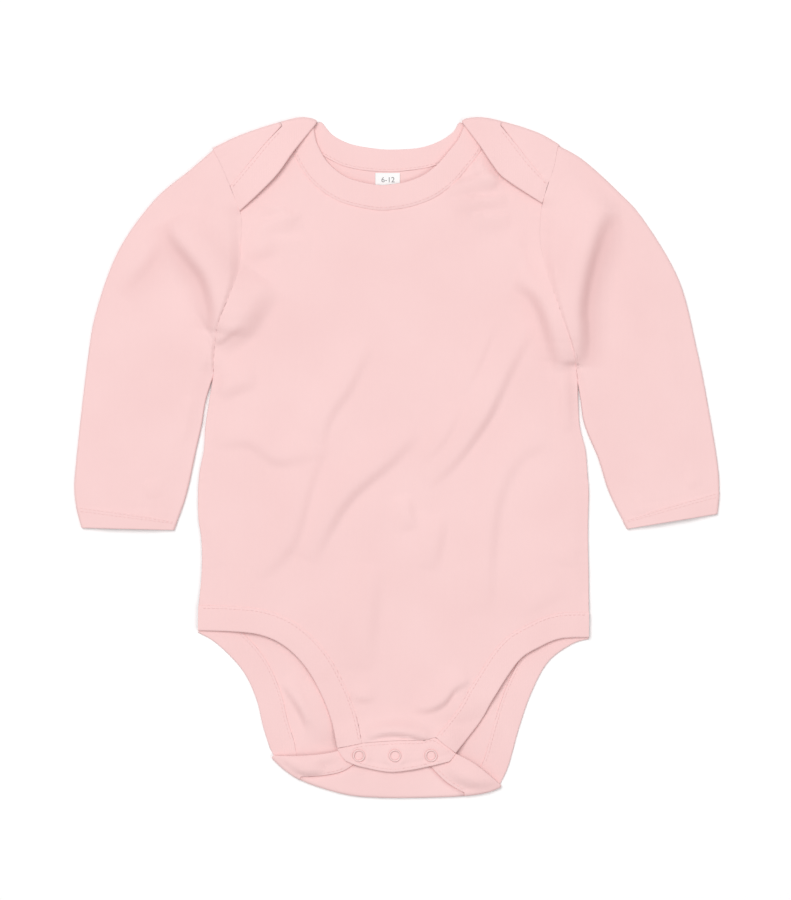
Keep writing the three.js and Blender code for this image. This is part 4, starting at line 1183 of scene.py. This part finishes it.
sizeLabel = clothObject("size_label_satin", [labelRows()], satin)
textCurve = bpy.data.curves.new("numerals", "FONT")
textCurve.body = label["text"]
textCurve.size = label["textHeight"] * 1.35 * mm
textCurve.align_x = "CENTER"
textCurve.extrude = 0.04 * mm
textHolder = bpy.data.objects.new("numerals", textCurve)
scene.collection.objects.link(textHolder)
numeralData = bpy.data.meshes.new_from_object(textHolder)
bpy.data.objects.remove(textHolder)
numerals = bpy.data.objects.new("size_numerals", numeralData)
textPlace = origin + [label["textX"], label["textY"], labelMid + label["thick"] / 2 + 0.16]
numeralData.transform(Matrix.Translation(Vector(textPlace) * mm))
numeralData.materials.clear()
numeralData.materials.append(ink)
scene.collection.objects.link(numerals)
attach(numerals, "root")
print("label made")

# Stitching, on the band side of each seam
frontNeckStitches = stitchObject("neck_stitches_front", [
    onBand(frontNeckEdge, frontNeckSeam, frontBandMid, 0.06, 0.94)])
backNeckStitches = stitchObject("neck_stitches_back", [
    onBand(backNeckEdge, backNeckSeam, flatBandMid, 0.04, 0.96),
    *[onBand(lapEdge[side], lapSeam[side], lapBandMid, 0.1, 0.97) for side in sides],
])
for side in sides:
    seam = beside(frontLegEdge[side], inward[side] * bandWidth)
    stitchObject(f"leg_stitches_front_{side}", [
        onBand(frontLegEdge[side], seam, frontBandMid, 0.02, 0.98)])
    seam = beside(backLegEdge[side], inward[side] * bandWidth)
    stitchObject(f"leg_stitches_back_{side}", [
        onBand(backLegEdge[side], seam, backBandHeight, 0.02, 0.98),
        onBand(flapEdge[side], flapSeam[side], flapBandMid, 0.08, 0.6),
    ])
hemStitches = {side: stitchObject(f"hem_stitches_{side}", hemRows[side]) for side in sides}


def placketStitchRow(path, inset):
    plan = beside(path, inset)(np.linspace(0.04, 0.96, 120))
    return lift(plan, placketHeight(plan) + crotch["placket"] / 2)


placketStitches = stitchObject("placket_stitches", [
    placketStitchRow(placketBottom, 2.0), placketStitchRow(placketTop, -2.0)])
print("stitching made")

# Pieces: what each rides on and which CAD part each stands for
floorName = "floor"


def declare(obj, node):
    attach(obj, "root")
    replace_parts(obj, node)


declare(backCloth, "back_panel")
declare(frontCloth, "front_panel")
declare(frontNeckBand, "neck_band_front")
declare(backNeckBand, "neck_band_back")
for side in sides:
    declare(sleeves[side], f"sleeve_{side}")
    declare(legBandFront[side], f"leg_band_front_{side}")
    declare(legBandBack[side], f"leg_band_back_{side}")
declare(placket, "snap_placket")
declare(sizeLabel, "size_label")

# Pale floor and soft studio light from above, a little from the upper left
stage = {"floorSize": 6.0, "world": 0.41, "keyPower": 141.0, "keySize": 2.9, "keyPlace": (-1.15, 1.5, 4.4),
         "fillPower": 53.0, "fillPlace": (2.0, -1.2, 4.4)}
floorMaterial, _, floorSurface = newMaterial("floorWhite")
setValues(floorSurface, {"Base Color": (*looks["floor"], 1), "Roughness": 0.9})
floorMade = bmesh.new()
bmesh.ops.create_grid(floorMade, x_segments=1, y_segments=1, size=stage["floorSize"] / 2)
placedMesh(floorName, floorMade, floorMaterial)


def areaLight(name, power, size, place):
    data = bpy.data.lights.new(name, "AREA")
    data.energy = power
    data.shape = "DISK"
    data.size = size
    lamp = bpy.data.objects.new(name, data)
    lamp.location = place
    lamp.rotation_euler = (-Vector(place)).to_track_quat("-Z", "Y").to_euler()
    scene.collection.objects.link(lamp)


areaLight("key", stage["keyPower"], stage["keySize"], stage["keyPlace"])
areaLight("fill", stage["fillPower"], stage["keySize"], stage["fillPlace"])
world = bpy.data.worlds.new("studio")
world.use_nodes = True
setValues(world.node_tree.nodes["Background"], {"Color": (1, 1, 1, 1), "Strength": stage["world"]})
scene.world = world
scene.view_settings.view_transform = "Standard"
print("stage set")
